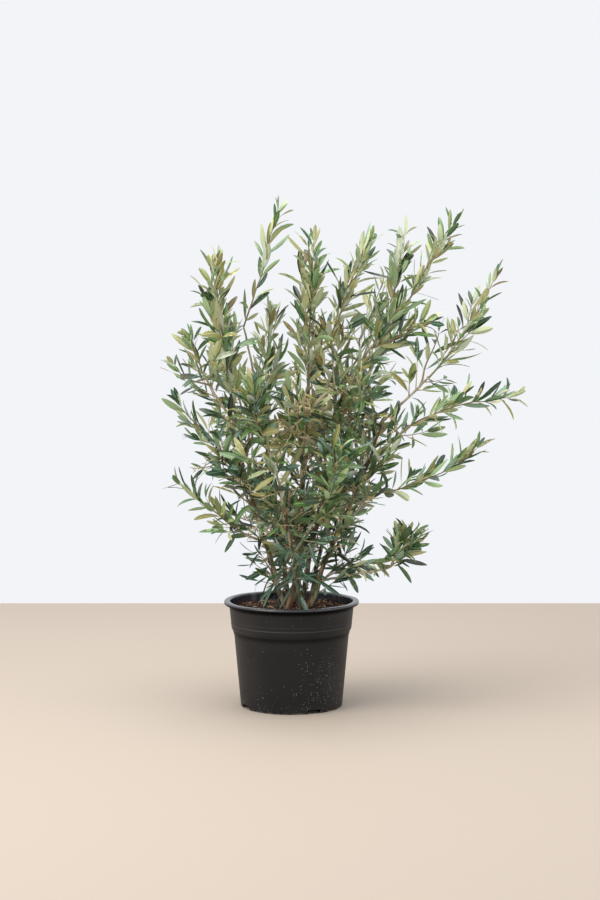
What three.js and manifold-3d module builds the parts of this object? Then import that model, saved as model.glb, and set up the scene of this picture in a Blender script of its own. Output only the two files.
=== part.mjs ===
// Potted olive: a young, many-stemmed olive bush in a round black nursery pot.
// Millimetres, +Z up. The origin is the middle of the pot's flat underside, and the front is -Y.
import * as THREE from "three";
import { mergeVertices } from "three/addons/utils/BufferGeometryUtils.js";
import Module from "manifold-3d";

// ---------------------------------------------------------------- driving dimensions

const GAP = 0.3; // left between pieces that touch

const POT = {
  height: 203,
  wall: 2.2,
  floor: 3,
  segments: 30,
  footRadius: 97,
  waistRadius: 110.6, // just under the shoulder
  waistHeight: 146.5,
  shoulderRadius: 114.6, // the wall steps out here
  shoulderHeight: 150.5,
  rib: { height: 158.5, radius: 116.3, halfWidth: 1.2 },
  collarRadius: 119.5, // just under the lip
  lip: { radius: 130, depth: 7.5, bottom: 194.5 },
};
const NOTCH = { count: 4, firstDegrees: 26, width: 29, height: 8, reach: 16 }; // drain notches in the foot

const SOIL = { top: 188, edgeDrop: 3, flatRadius: 70, clearance: 0.4 };

const LIMB = { sides: 6, steps: 5, flare: 1.3, flareHeight: 16, sunk: 2 };
const SPRAY = {
  sides: 8,
  rings: 7,
  crest: 0.85, // below 1 moves the fullest part towards the foot
  bluntness: 0.6,
  unevenness: 0.26,
  clearOfSprays: 7,
  clearOfLimbs: 1.2,
  slimmest: 0.8, // radius where there is no room for more
  rayStep: 1,
};

// Stems rise from the soil. foot is [x, y], tip is [x, y, z], bow is how far the limb swings outwards and down
// from the straight line, and girth holds the radii at foot and tip.
const STEMS = [
  { name: "stem_left", foot: [-19, 0], tip: [-108, -10, 585], bow: 38, girth: [6.3, 2.8] },
  { name: "stem_inner_left", foot: [-7, 24], tip: [-52, 46, 560], bow: 14, girth: [5.8, 2.6] },
  { name: "stem_centre", foot: [3, -8], tip: [30, -14, 604], bow: 6, girth: [6.9, 2.8] },
  { name: "stem_right", foot: [21, 8], tip: [104, 14, 640], bow: 18, girth: [6.4, 2.8] },
  { name: "stem_far_right", foot: [40, -9], tip: [172, -24, 550], bow: 16, girth: [6.2, 2.8] },
  { name: "stem_back", foot: [12, 36], tip: [36, 128, 684], bow: 22, girth: [6, 2.4] },
  { name: "stem_back_right", foot: [37, 30], tip: [112, 96, 545], bow: 22, girth: [5.6, 2.8] },
  { name: "stem_front", foot: [17, -33], tip: [-14, -88, 410], bow: 12, girth: [5, 2.6] },
];

// Boughs leave a stem, or another bough, at a share of its length.
const BOUGHS = [
  { name: "bough_left_arm", from: "stem_left", at: 0.9, tip: [-168, -30, 643], bow: 8, girth: [2.7, 2.2] },
  { name: "bough_tall_wand", from: "stem_inner_left", at: 0.97, tip: [-90, 22, 724], bow: 6, girth: [2.5, 1.9] },
  { name: "bough_left_low", from: "stem_left", at: 0.32, tip: [-112, -34, 352], bow: 8, girth: [2.7, 2.1] },
  { name: "bough_left_mid", from: "stem_left", at: 0.66, tip: [-166, 14, 528], bow: 6, girth: [2.6, 2] },
  { name: "bough_right_arm", from: "stem_far_right", at: 1, tip: [257, -40, 631], bow: 4, girth: [2.7, 2.2] },
  { name: "bough_far_right", from: "stem_far_right", at: 0.8, tip: [210, -62, 534], bow: 8, girth: [2.7, 2.1] },
  { name: "bough_right_low", from: "stem_far_right", at: 0.4, tip: [146, -56, 414], bow: 8, girth: [2.7, 2.1] },
  { name: "bough_low_right", from: "stem_far_right", at: 0.14, tip: [178, -60, 272], bow: 2, girth: [2.6, 2] },
  { name: "bough_upper_right", from: "stem_right", at: 0.96, tip: [194, 4, 748], bow: 6, girth: [2.8, 2.2] },
  { name: "bough_centre_right", from: "stem_right", at: 0.72, tip: [76, -16, 712], bow: 8, girth: [2.6, 1.9] },
  { name: "bough_back_left", from: "stem_back", at: 0.54, tip: [-98, 140, 562], bow: 10, girth: [2.6, 2] },
  { name: "bough_back_right", from: "stem_back_right", at: 0.9, tip: [152, 136, 630], bow: 8, girth: [2.7, 2.1] },
  { name: "bough_front_left", from: "stem_front", at: 1, tip: [-38, -150, 500], bow: 8, girth: [2.5, 2] },
  { name: "bough_front_right", from: "stem_front", at: 0.5, tip: [58, -140, 400], bow: 8, girth: [2.5, 2] },
];

// Masses of foliage follow a shoot from a limb to their own tip; girth is their fullest radius.
const SPRAYS = [
  { name: "foliage_left_spire", from: "stem_left", at: 1, tip: [-141, -26, 868], bow: 22, girth: 46 },
  { name: "foliage_tall_wand", from: "bough_tall_wand", at: 1, tip: [-34, 16, 973], bow: 10, girth: 28 },
  { name: "foliage_centre_spire", from: "stem_centre", at: 1, tip: [44, -26, 919], bow: -4, girth: 38 },
  { name: "foliage_left_arm", from: "bough_left_arm", at: 1, tip: [-198, -36, 728], bow: 6, girth: 30 },
  { name: "foliage_left_tip", from: "bough_left_arm", at: 0.72, tip: [-246, -62, 672], bow: 8, girth: 26 },
  { name: "foliage_mid_left", from: "bough_left_mid", at: 1, tip: [-232, 18, 602], bow: 8, girth: 30 },
  { name: "foliage_lower_left", from: "bough_left_low", at: 1, tip: [-236, -48, 452], bow: 4, girth: 34 },
  { name: "foliage_inner_left", from: "stem_inner_left", at: 1, tip: [-42, 62, 786], bow: 8, girth: 28 },
  { name: "foliage_centre_wand", from: "bough_centre_right", at: 1, tip: [156, -26, 918], bow: -6, girth: 40 },
  { name: "foliage_right_crest", from: "bough_upper_right", at: 0.94, tip: [222, 44, 932], bow: -2, girth: 28 },
  { name: "foliage_right_peak", from: "bough_upper_right", at: 1, tip: [318, -4, 942], bow: 14, girth: 30 },
  { name: "foliage_right_shoulder", from: "bough_upper_right", at: 0.5, tip: [284, -66, 752], bow: 10, girth: 30 },
  { name: "foliage_right_top", from: "stem_right", at: 1, tip: [184, 56, 836], bow: 10, girth: 38 },
  { name: "foliage_right_arm", from: "bough_right_arm", at: 1, tip: [392, -52, 848], bow: 26, girth: 31 },
  { name: "foliage_right_upright", from: "bough_right_arm", at: 0.8, tip: [286, -12, 748], bow: 10, girth: 24 },
  { name: "foliage_far_right", from: "bough_far_right", at: 1, tip: [442, -76, 594], bow: -34, girth: 36 },
  { name: "foliage_right_mid", from: "stem_far_right", at: 0.66, tip: [202, -110, 516], bow: 4, girth: 30 },
  { name: "foliage_right_lower", from: "bough_right_low", at: 1, tip: [368, -90, 522], bow: 44, girth: 30 },
  { name: "foliage_low_right", from: "bough_low_right", at: 1, tip: [238, -70, 362], bow: 18, girth: 46 },
  { name: "foliage_right_foot", from: "stem_far_right", at: 0.13, tip: [158, -24, 312], bow: 4, girth: 36 },
  { name: "foliage_left_foot", from: "stem_left", at: 0.1, tip: [-88, -26, 322], bow: 6, girth: 30 },
  { name: "foliage_heart_left", from: "stem_left", at: 0.7, tip: [-44, -92, 686], bow: 12, girth: 66 },
  { name: "foliage_heart_right", from: "stem_right", at: 0.66, tip: [142, -58, 668], bow: 14, girth: 66 },
  { name: "foliage_heart_centre", from: "stem_centre", at: 0.62, tip: [4, -108, 640], bow: 20, girth: 68 },
  { name: "foliage_heart_low", from: "stem_centre", at: 0.24, tip: [-50, -96, 450], bow: 14, girth: 62 },
  { name: "foliage_left_waist", from: "stem_left", at: 0.42, tip: [-142, -50, 548], bow: 10, girth: 54 },
  { name: "foliage_right_waist", from: "stem_right", at: 0.36, tip: [118, -84, 520], bow: 16, girth: 60 },
  { name: "foliage_front_left", from: "bough_front_left", at: 1, tip: [-74, -236, 640], bow: 14, girth: 50 },
  { name: "foliage_front_right", from: "bough_front_right", at: 1, tip: [96, -248, 540], bow: 18, girth: 50 },
  { name: "foliage_front_foot", from: "stem_front", at: 0.12, tip: [-8, -158, 356], bow: 10, girth: 48 },
  { name: "foliage_back_tall", from: "stem_back", at: 1, tip: [54, 152, 886], bow: 8, girth: 42 },
  { name: "foliage_back_left", from: "bough_back_left", at: 1, tip: [-160, 196, 738], bow: 12, girth: 50 },
  { name: "foliage_back_right", from: "bough_back_right", at: 1, tip: [206, 190, 800], bow: 14, girth: 50 },
  { name: "foliage_back_low_left", from: "stem_back", at: 0.3, tip: [-112, 192, 456], bow: 12, girth: 54 },
  { name: "foliage_back_low_right", from: "stem_back_right", at: 0.42, tip: [170, 206, 500], bow: 14, girth: 54 },
  { name: "foliage_back_heart", from: "stem_back", at: 0.5, tip: [52, 264, 616], bow: 18, girth: 62 },
];

// ---------------------------------------------------------------- finishes

const finish = (color, roughness) => new THREE.MeshStandardMaterial({ color, roughness, metalness: 0 });
const BLACK_PLASTIC = finish(0x26262a, 0.55);
const COMPOST = finish(0x4a3226, 0.95);
const BARK = finish(0x6e6152, 0.85);
const LEAVES = finish(0x5f6f4a, 0.6);

// ---------------------------------------------------------------- joining and cutting

const wasm = await Module();
wasm.setup();

/** A closed geometry as a solid that can be joined and cut. */
function solidOf(geometry) {
  const bare = geometry.clone();
  bare.deleteAttribute("normal");
  bare.deleteAttribute("uv");
  const merged = mergeVertices(bare, 1e-4);
  return new wasm.Manifold(
    new wasm.Mesh({
      numProp: 3,
      vertProperties: merged.attributes.position.array,
      triVerts: new Uint32Array(merged.index.array),
    }),
  );
}

/** The geometry of a solid. */
function geometryOf(solid) {
  const { vertProperties, triVerts } = solid.getMesh();
  const geometry = new THREE.BufferGeometry();
  geometry.setAttribute("position", new THREE.BufferAttribute(vertProperties, 3));
  geometry.setIndex(new THREE.BufferAttribute(triVerts, 1));
  geometry.computeVertexNormals();
  return geometry;
}

// ---------------------------------------------------------------- pot and soil

/** A lathe about +Z of a closed profile of [radius, height] pairs, going up the outside. */
function turned(profile) {
  const points = profile.map(([radius, height]) => new THREE.Vector2(radius, height));
  return new THREE.LatheGeometry(points, POT.segments).rotateX(Math.PI / 2);
}

/** Radius of the outer wall below the shoulder at a height. */
function outerRadius(height) {
  return THREE.MathUtils.lerp(POT.footRadius, POT.waistRadius, height / POT.waistHeight);
}

/** The pot's wall, shoulder, rib, rolled lip and flat floor, with the drain notches cut out of its foot. */
function potGeometry() {
  const { wall, lip, rib } = POT;
  const lipMiddle = lip.radius - lip.depth / 2;
  const shell = turned([
    [0, 0],
    [POT.footRadius, 0],
    [POT.waistRadius, POT.waistHeight],
    [POT.shoulderRadius, POT.shoulderHeight],
    [rib.radius - 1, rib.height - rib.halfWidth],
    [rib.radius, rib.height],
    [rib.radius - 0.7, rib.height + rib.halfWidth],
    [POT.collarRadius, lip.bottom],
    [lip.radius - 1.5, lip.bottom + 1],
    [lip.radius, lip.bottom + 3.5],
    [lip.radius - 1.5, POT.height - 1.5],
    [lipMiddle, POT.height],
    [POT.collarRadius - wall + 1.5, POT.height - 3],
    [POT.collarRadius - wall, lip.bottom],
    [POT.shoulderRadius - wall, POT.shoulderHeight + 1],
    [POT.waistRadius - wall, POT.waistHeight - 1],
    [outerRadius(POT.floor) - wall, POT.floor],
    [0, POT.floor],
  ]);
  let pot = solidOf(shell);
  for (let i = 0; i < NOTCH.count; i++) {
    const block = new THREE.BoxGeometry(NOTCH.reach, NOTCH.width, 2 * NOTCH.height);
    block.translate(POT.footRadius, 0, 0);
    block.rotateZ(THREE.MathUtils.degToRad(NOTCH.firstDegrees - 90 + (360 / NOTCH.count) * i));
    pot = pot.subtract(solidOf(block));
  }
  return geometryOf(pot);
}

/** The compost that fills the pot, level in the middle where the stems stand and lower at the wall. */
function soilGeometry() {
  const inset = POT.wall + SOIL.clearance;
  const edgeHeight = SOIL.top - SOIL.edgeDrop;
  const edgeShare = (edgeHeight - POT.shoulderHeight) / (POT.lip.bottom - POT.shoulderHeight);
  const edgeRadius = THREE.MathUtils.lerp(POT.shoulderRadius, POT.collarRadius, edgeShare) - inset;
  const bottom = NOTCH.height + SOIL.clearance; // clear of the notches
  return turned([
    [0, POT.floor + GAP],
    [POT.footRadius - NOTCH.reach / 2 - 1, POT.floor + GAP],
    [POT.footRadius - NOTCH.reach / 2 - 1, bottom],
    [outerRadius(bottom) - inset, bottom],
    [POT.waistRadius - inset, POT.waistHeight],
    [POT.shoulderRadius - inset - 0.4, POT.shoulderHeight + 3],
    [edgeRadius, edgeHeight],
    [SOIL.flatRadius, SOIL.top],
    [0, SOIL.top],
  ]);
}

// ---------------------------------------------------------------- limbs

const UP = new THREE.Vector3(0, 0, 1);

/** The direction in which a limb from start to tip bows: outwards and down, square to its chord. */
function bowDirection(start, tip) {
  const chord = tip.clone().sub(start).normalize();
  const outwards = new THREE.Vector3(tip.x - start.x, tip.y - start.y, 0);
  if (outwards.lengthSq() < 1) outwards.set(0, -1, 0);
  const away = outwards.normalize().sub(UP);
  return away.addScaledVector(chord, -away.dot(chord)).normalize();
}

/** A stem's curve: straight up out of the soil, then bowed towards its tip. */
function stemCurve({ foot, tip, bow }) {
  const start = new THREE.Vector3(foot[0], foot[1], SOIL.top + GAP);
  const end = new THREE.Vector3(...tip);
  const rise = start.clone().addScaledVector(UP, start.distanceTo(end) * 0.2);
  const bend = start.clone().lerp(end, 0.66).addScaledVector(bowDirection(start, end), bow);
  return new THREE.CubicBezierCurve3(start, rise, bend, end);
}

/** The curve of a bough or a shoot from a point to its tip. */
function shootCurve(start, { tip, bow }) {
  const end = new THREE.Vector3(...tip);
  const bend = start.clone().lerp(end, 0.5).addScaledVector(bowDirection(start, end), bow);
  return new THREE.QuadraticBezierCurve3(start, bend, end);
}

/** A limb's radius at a share of its length, from its foot and tip radii. */
function limbRadius(limb, share) {
  return THREE.MathUtils.lerp(limb.girth[0], limb.girth[1], share);
}

/** A cylinder bent along the limb's curve, tapering, with a root flare at the soil, grown all round by a margin. */
function limbGeometry(limb, margin = 0) {
  const { sides, steps } = LIMB;
  const geometry = new THREE.CylinderGeometry(1, 1, 1, sides, steps);
  const frames = limb.curve.computeFrenetFrames(steps, false);
  const position = geometry.attributes.position;
  const length = limb.curve.getLength();
  for (let i = 0; i < position.count; i++) {
    const share = position.getY(i) + 0.5;
    const step = Math.round(share * steps);
    const height = share * length;
    const flare = limb.foot ? 1 + (LIMB.flare - 1) * Math.exp(-height / LIMB.flareHeight) : 1;
    const radius = limbRadius(limb, share) * flare + margin;
    const place = limb.curve
      .getPointAt(share)
      .addScaledVector(frames.tangents[step], step === steps ? margin : 0)
      .addScaledVector(frames.normals[step], -position.getX(i) * radius)
      .addScaledVector(frames.binormals[step], position.getZ(i) * radius);
    if (limb.foot && step === 0) place.z = SOIL.top + GAP;
    position.setXYZ(i, place.x, place.y, place.z);
  }
  return geometry;
}

/** Points along a limb with its radius at each, for clearances. */
function limbBeads(limb, count = 40) {
  return Array.from({ length: count + 1 }, (_, i) => ({
    centre: limb.curve.getPointAt(i / count),
    radius: limbRadius(limb, i / count),
  }));
}

/** How far a point lies outside the nearest of some beads; negative inside one. */
function distanceTo(beads, point) {
  return Math.min(...beads.map(({ centre, radius }) => centre.distanceTo(point) - radius));
}

/** The start of a shoot's curve, sunk a little into its parent limb, which is cut away from it afterwards. */
function seatOn(parent, shoot) {
  const onAxis = parent.curve.getPointAt(shoot.at);
  if (shoot.at === 1) return onAxis.addScaledVector(parent.curve.getTangentAt(1), -LIMB.sunk);
  const heading = shootCurve(onAxis, shoot).getTangentAt(0);
  return onAxis.addScaledVector(heading, limbRadius(parent, shoot.at) - LIMB.sunk);
}

// ---------------------------------------------------------------- masses of foliage

/** The spray's full radius at a share of its length and an angle round it, before neighbours cut in. */
function sprayRadius(spray, share, angle) {
  const { crest, bluntness, unevenness } = SPRAY;
  const profile = Math.pow(Math.max(0, Math.sin(Math.PI * Math.pow(share, crest))), bluntness);
  const lobes =
    0.6 * Math.sin(3 * angle + 7 * share + 2.1 * spray.seed) +
    0.4 * Math.sin(2 * angle - 11 * share + 3.7 * spray.seed);
  return spray.girth * profile * (1 + unevenness * lobes);
}

/** Points along a spray with its plain radius at each, for clearances. */
function sprayBeads(spray, count = 24) {
  return Array.from({ length: count - 1 }, (_, i) => (i + 1) / count).map((share) => ({
    centre: spray.curve.getPointAt(share),
    radius: spray.girth * Math.pow(Math.sin(Math.PI * Math.pow(share, SPRAY.crest)), SPRAY.bluntness),
  }));
}

/** How far a spray can reach from a point on its axis before it meets a limb or a neighbour's share of the room. */
function freeReach(spray, others, limbs, centre, direction, full) {
  const clearOf = SPRAY.clearOfSprays / 2;
  let reach = 0;
  while (reach < full) {
    const point = centre.clone().addScaledVector(direction, reach + SPRAY.rayStep);
    const own = distanceTo(spray.beads, point);
    const crowded = others.some(({ beads }) => distanceTo(beads, point) < own + 2 * clearOf);
    if (crowded || limbs.some(({ beads }) => distanceTo(beads, point) < SPRAY.clearOfLimbs)) break;
    reach += SPRAY.rayStep;
  }
  return Math.max(SPRAY.slimmest, Math.min(full, reach));
}

/** A sphere drawn out along the spray's shoot into an uneven spindle that gives way to its neighbours. */
function sprayGeometry(spray, sprays, limbs) {
  const { sides, rings } = SPRAY;
  const others = sprays.filter((other) => other !== spray);
  const geometry = new THREE.SphereGeometry(1, sides, rings);
  const frames = spray.curve.computeFrenetFrames(rings, false);
  const position = geometry.attributes.position;
  for (let ring = 0; ring <= rings; ring++) {
    const share = ring / rings;
    const centre = spray.curve.getPointAt(share);
    for (let side = 0; side <= sides; side++) {
      const angle = (2 * Math.PI * (side % sides)) / sides;
      const direction = frames.normals[ring]
        .clone()
        .multiplyScalar(Math.cos(angle))
        .addScaledVector(frames.binormals[ring], -Math.sin(angle));
      const full = sprayRadius(spray, share, angle);
      const atPole = ring === 0 || ring === rings;
      const radius = atPole ? 0 : freeReach(spray, others, limbs, centre, direction, full);
      const place = centre.clone().addScaledVector(direction, radius);
      position.setXYZ(ring * (sides + 1) + side, place.x, place.y, place.z);
    }
  }
  return geometry;
}

/** A geometry with a channel cut for each of some limbs that it meets, less any crumb left beside one. */
function cutRound(geometry, limbs) {
  let solid = solidOf(geometry);
  for (const limb of limbs) {
    if (solid.intersect(limb.sleeve).volume() > 0) solid = solid.subtract(limb.sleeve);
  }
  const pieces = solid.decompose();
  return geometryOf(pieces.reduce((largest, piece) => (piece.volume() > largest.volume() ? piece : largest)));
}

// ---------------------------------------------------------------- assembly

const limbs = new Map();
for (const stem of STEMS) limbs.set(stem.name, { ...stem, curve: stemCurve(stem) });
for (const bough of BOUGHS) {
  const start = seatOn(limbs.get(bough.from), bough);
  limbs.set(bough.name, { ...bough, curve: shootCurve(start, bough) });
}
for (const limb of limbs.values()) {
  limb.beads = limbBeads(limb);
  limb.sleeve = solidOf(limbGeometry(limb, GAP));
}

const sprays = SPRAYS.map((spray, seed) => {
  const start = seatOn(limbs.get(spray.from), spray);
  return { ...spray, seed, curve: shootCurve(start, spray) };
});
for (const spray of sprays) spray.beads = sprayBeads(spray);

const olive = new THREE.Group();

/** Adds a named piece to the plant. */
function add(name, geometry, material) {
  const mesh = new THREE.Mesh(geometry, material.clone());
  mesh.name = name;
  olive.add(mesh);
}

add("pot", potGeometry(), BLACK_PLASTIC);
add("soil", soilGeometry(), COMPOST);
for (const limb of limbs.values()) {
  const parent = limbs.get(limb.from);
  add(limb.name, parent ? cutRound(limbGeometry(limb), [parent]) : limbGeometry(limb), BARK);
}
for (const spray of sprays) {
  const spindle = sprayGeometry(spray, sprays, [...limbs.values()]);
  add(spray.name, cutRound(spindle, [...limbs.values()]), LEAVES);
}

export default olive;
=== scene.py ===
"""A many-stemmed olive bush in a round black nursery pot, in a pale studio.

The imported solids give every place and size. Each stem and bough solid becomes a barky limb, and each
solid of foliage becomes a leader that grows on from its limb, with side shoots and paired leaves.
"""

import logging
import math
import zlib
from collections.abc import Callable, Sequence
from dataclasses import dataclass, field, replace
from enum import Enum

import bpy
import numpy as np
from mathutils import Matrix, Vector, noise
from mathutils.bvhtree import BVHTree

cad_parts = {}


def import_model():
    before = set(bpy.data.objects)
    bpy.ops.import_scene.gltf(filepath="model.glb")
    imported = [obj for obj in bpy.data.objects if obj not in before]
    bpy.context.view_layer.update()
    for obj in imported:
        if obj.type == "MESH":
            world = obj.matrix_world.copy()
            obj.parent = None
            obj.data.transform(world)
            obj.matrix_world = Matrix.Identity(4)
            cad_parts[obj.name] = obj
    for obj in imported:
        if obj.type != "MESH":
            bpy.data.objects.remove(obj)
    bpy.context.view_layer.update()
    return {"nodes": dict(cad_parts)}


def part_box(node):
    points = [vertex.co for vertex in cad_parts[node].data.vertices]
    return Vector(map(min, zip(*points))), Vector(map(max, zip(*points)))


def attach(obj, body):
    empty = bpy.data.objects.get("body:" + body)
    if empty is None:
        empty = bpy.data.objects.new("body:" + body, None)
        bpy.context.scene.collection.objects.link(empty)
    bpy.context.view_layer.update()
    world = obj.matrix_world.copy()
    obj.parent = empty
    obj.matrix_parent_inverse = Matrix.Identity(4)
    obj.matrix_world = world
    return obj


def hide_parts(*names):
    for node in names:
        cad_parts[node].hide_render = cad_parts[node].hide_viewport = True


LOG = logging.getLogger("olive")
BODY = "root"
UP = np.array([0.0, 0.0, 1.0])
QUARTER = math.pi / 2.0
TURN = math.tau
PLAIN = (1.0, 1.0, 1.0)  # a pattern that isn't stretched
SMOOTHING = 0.004  # spacing of the points on a limb's smooth line
END_ZONE = 1e-4  # corners this near to a solid's end belong to the end

Colour = tuple[int, int, int]
Shade = tuple[float, float, float, float]
Triple = tuple[float, float, float]
Range = tuple[float, float]
Socket = bpy.types.NodeSocket


def linear(red: int, green: int, blue: int) -> Shade:
    """Turn a display colour into the linear colour that a shader takes.

    Args:
        red: Red, 0 to 255.
        green: Green, 0 to 255.
        blue: Blue, 0 to 255.

    Returns:
        Linear red, green, blue and alpha.
    """
    shares = [value / 255.0 for value in (red, green, blue)]
    curved = [s / 12.92 if s <= 0.04045 else ((s + 0.055) / 1.055) ** 2.4 for s in shares]
    return (curved[0], curved[1], curved[2], 1.0)


def unit(vector: np.ndarray) -> np.ndarray:
    """Scale a vector to length one."""
    return vector / max(float(np.linalg.norm(vector)), 1e-9)


def seeded(name: str) -> np.random.Generator:
    """Give each piece its own repeatable stream of chance."""
    return np.random.default_rng(zlib.crc32(name.encode()))


def settle(piece: bpy.types.Object, node: str, slot: str) -> None:
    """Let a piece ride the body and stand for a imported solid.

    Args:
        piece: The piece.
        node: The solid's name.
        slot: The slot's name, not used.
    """
    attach(piece, BODY)
    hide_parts(node)


# ---------------------------------------------------------------- finishes


class NodeSheet:
    """Lays out the nodes of one material round its Principled shader."""

    def __init__(self, name: str) -> None:
        """Start a material.

        Args:
            name: The material's name.
        """
        self.material = bpy.data.materials.new(name)
        self.material.use_nodes = True
        self.tree = self.material.node_tree
        self.shader = self.tree.nodes["Principled BSDF"]
        self._place: Socket | None = None

    def set(self, **values: float | tuple[float, ...]) -> None:
        """Set sockets of the shader, their names written with underscores."""
        for name, value in values.items():
            label = name.replace("_", " ").title().replace("Ior", "IOR")
            self.shader.inputs[label].default_value = value

    def link(self, source: Socket, target: Socket) -> None:
        """Join two sockets."""
        self.tree.links.new(source, target)

    def feed(self, source: Socket, name: str) -> None:
        """Join a socket to one of the shader's inputs."""
        self.link(source, self.shader.inputs[name])

    def place(self, stretch: Triple = PLAIN) -> Socket:
        """Give the point on the object, stretched along each axis.

        Args:
            stretch: Factors for X, Y and Z.

        Returns:
            The vector socket.
        """
        if self._place is None:
            self._place = self.tree.nodes.new("ShaderNodeTexCoord").outputs["Object"]
        mapping = self.tree.nodes.new("ShaderNodeMapping")
        mapping.inputs["Scale"].default_value = stretch
        self.link(self._place, mapping.inputs["Vector"])
        return mapping.outputs["Vector"]

    def noise(self, scale: float, detail: float = 3.0, stretch: Triple = PLAIN) -> Socket:
        """Add a noise pattern.

        Args:
            scale: Its scale, per metre.
            detail: Its octaves.
            stretch: Factors for X, Y and Z.

        Returns:
            The pattern's value, 0 to 1.
        """
        node = self.tree.nodes.new("ShaderNodeTexNoise")
        node.inputs["Scale"].default_value = scale
        node.inputs["Detail"].default_value = detail
        self.link(self.place(stretch), node.inputs["Vector"])
        return node.outputs["Fac"]

    def ramp(self, source: Socket, stops: Sequence[tuple[float, Colour]]) -> Socket:
        """Colour a value.

        Args:
            source: The value.
            stops: Places and colours, in order.

        Returns:
            The colour socket.
        """
        node = self.tree.nodes.new("ShaderNodeValToRGB")
        elements = node.color_ramp.elements
        while len(elements) < len(stops):
            elements.new(0.5)
        for element, (where, colour) in zip(elements, stops):
            element.position = where
            element.color = linear(*colour)
        self.link(source, node.inputs["Fac"])
        return node.outputs["Color"]

    def grey(
        self, source: Socket, low: float, high: float, start: float = 0.0, end: float = 1.0
    ) -> Socket:
        """Stretch a value from one range to another.

        Args:
            source: The value.
            low: The output at start.
            high: The output at end.
            start: Where the input range starts.
            end: Where the input range ends.

        Returns:
            The value socket.
        """
        node = self.tree.nodes.new("ShaderNodeMapRange")
        for name, value in (("From Min", start), ("From Max", end), ("To Min", low), ("To Max", high)):
            node.inputs[name].default_value = value
        self.link(source, node.inputs["Value"])
        return node.outputs["Result"]

    def maths(self, operation: str, first: Socket, second: Socket | float) -> Socket:
        """Do arithmetic on two values.

        Args:
            operation: The name of the operation.
            first: The first value.
            second: The second value, a socket or a number.

        Returns:
            The result's socket.
        """
        node = self.tree.nodes.new("ShaderNodeMath")
        node.operation = operation
        self.link(first, node.inputs[0])
        if isinstance(second, (int, float)):
            node.inputs[1].default_value = second
        else:
            self.link(second, node.inputs[1])
        return node.outputs["Value"]

    def times(self, first: Socket, second: Socket | float) -> Socket:
        """Multiply two values."""
        return self.maths("MULTIPLY", first, second)

    def most(self, first: Socket, second: Socket | float) -> Socket:
        """Give the greater of two values."""
        return self.maths("MAXIMUM", first, second)

    def mix(self, share: Socket, below: Socket | Colour, above: Socket | Colour) -> Socket:
        """Blend two colours.

        Args:
            share: How much of the second shows.
            below: The first colour, a socket or a colour.
            above: The second colour, a socket or a colour.

        Returns:
            The colour socket.
        """
        node = self.tree.nodes.new("ShaderNodeMix")
        node.data_type = "RGBA"
        self.link(share, node.inputs["Factor"])
        inputs = [socket for socket in node.inputs if socket.type == "RGBA"]
        for value, colour_input in zip((below, above), inputs):
            if isinstance(value, tuple):
                colour_input.default_value = linear(*value)
            else:
                self.link(value, colour_input)
        return next(socket for socket in node.outputs if socket.type == "RGBA")

    def bump(self, height: Socket, depth: float, strength: float) -> None:
        """Raise the surface by a value.

        Args:
            height: The value.
            depth: The height of a full value, in metres.
            strength: How strongly it shows.
        """
        node = self.tree.nodes.new("ShaderNodeBump")
        node.inputs["Distance"].default_value = depth
        node.inputs["Strength"].default_value = strength
        self.link(height, node.inputs["Height"])
        self.feed(node.outputs["Normal"], "Normal")


def once(name: str, dress: Callable[[NodeSheet], None]) -> bpy.types.Material:
    """Fetch a material, or make and dress it the first time.

    Args:
        name: The material's name.
        dress: Lays out its nodes.

    Returns:
        The material.
    """
    if name not in bpy.data.materials:
        dress(NodeSheet(name))
    return bpy.data.materials[name]


@dataclass(frozen=True)
class PlainFinish:
    """A plain colour, for twigs, chips and the studio."""

    name: str
    colour: Colour
    roughness: float = 0.8

    def material(self) -> bpy.types.Material:
        """Make or fetch the material."""
        look = {"base_color": linear(*self.colour), "roughness": self.roughness}
        return once(self.name, lambda sheet: sheet.set(**look))


@dataclass(frozen=True)
class LeafFinish:
    """One tint of leaf: satin above and pale below."""

    name: str
    upper: Colour
    under: Colour
    upper_roughness: float = 0.41
    under_roughness: float = 0.6
    upper_gloss: float = 0.95
    under_gloss: float = 0.4

    def material(self, below: bool) -> bpy.types.Material:
        """Make or fetch the material of one side.

        Args:
            below: Whether it is the underside.

        Returns:
            The material.
        """
        look = {
            "base_color": linear(*(self.under if below else self.upper)),
            "roughness": self.under_roughness if below else self.upper_roughness,
            "specular_ior_level": self.under_gloss if below else self.upper_gloss,
        }
        return once(f"leaf_{'under' if below else 'upper'}_{self.name}", lambda sheet: sheet.set(**look))


class Tint(Enum):
    """The tints that leaves are dealt."""

    DEEP = LeafFinish("deep", (13, 36, 11), (78, 106, 68))
    BOTTLE = LeafFinish("bottle", (27, 62, 20), (114, 146, 100))
    BLUE = LeafFinish("blue", (44, 83, 58), (138, 168, 142))
    MID = LeafFinish("mid", (78, 113, 48), (158, 184, 136))
    FRESH = LeafFinish("fresh", (142, 157, 92), (190, 199, 160))
    KHAKI = LeafFinish("khaki", (138, 135, 68), (194, 194, 144))
    RUSSET = LeafFinish("russet", (106, 90, 46), (158, 146, 96))
    PALE = LeafFinish("pale", (160, 170, 138), (198, 206, 180))


class TwigAge(Enum):
    """Twig skins, from last year's wood to this year's growth."""

    WOODY = PlainFinish("twig_woody", (142, 124, 94), 0.75)
    TAN = PlainFinish("twig_tan", (172, 156, 116), 0.6)
    GREEN = PlainFinish("twig_green", (166, 172, 126), 0.55)
    DRY = PlainFinish("twig_dry", (204, 184, 146), 0.85)


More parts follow.
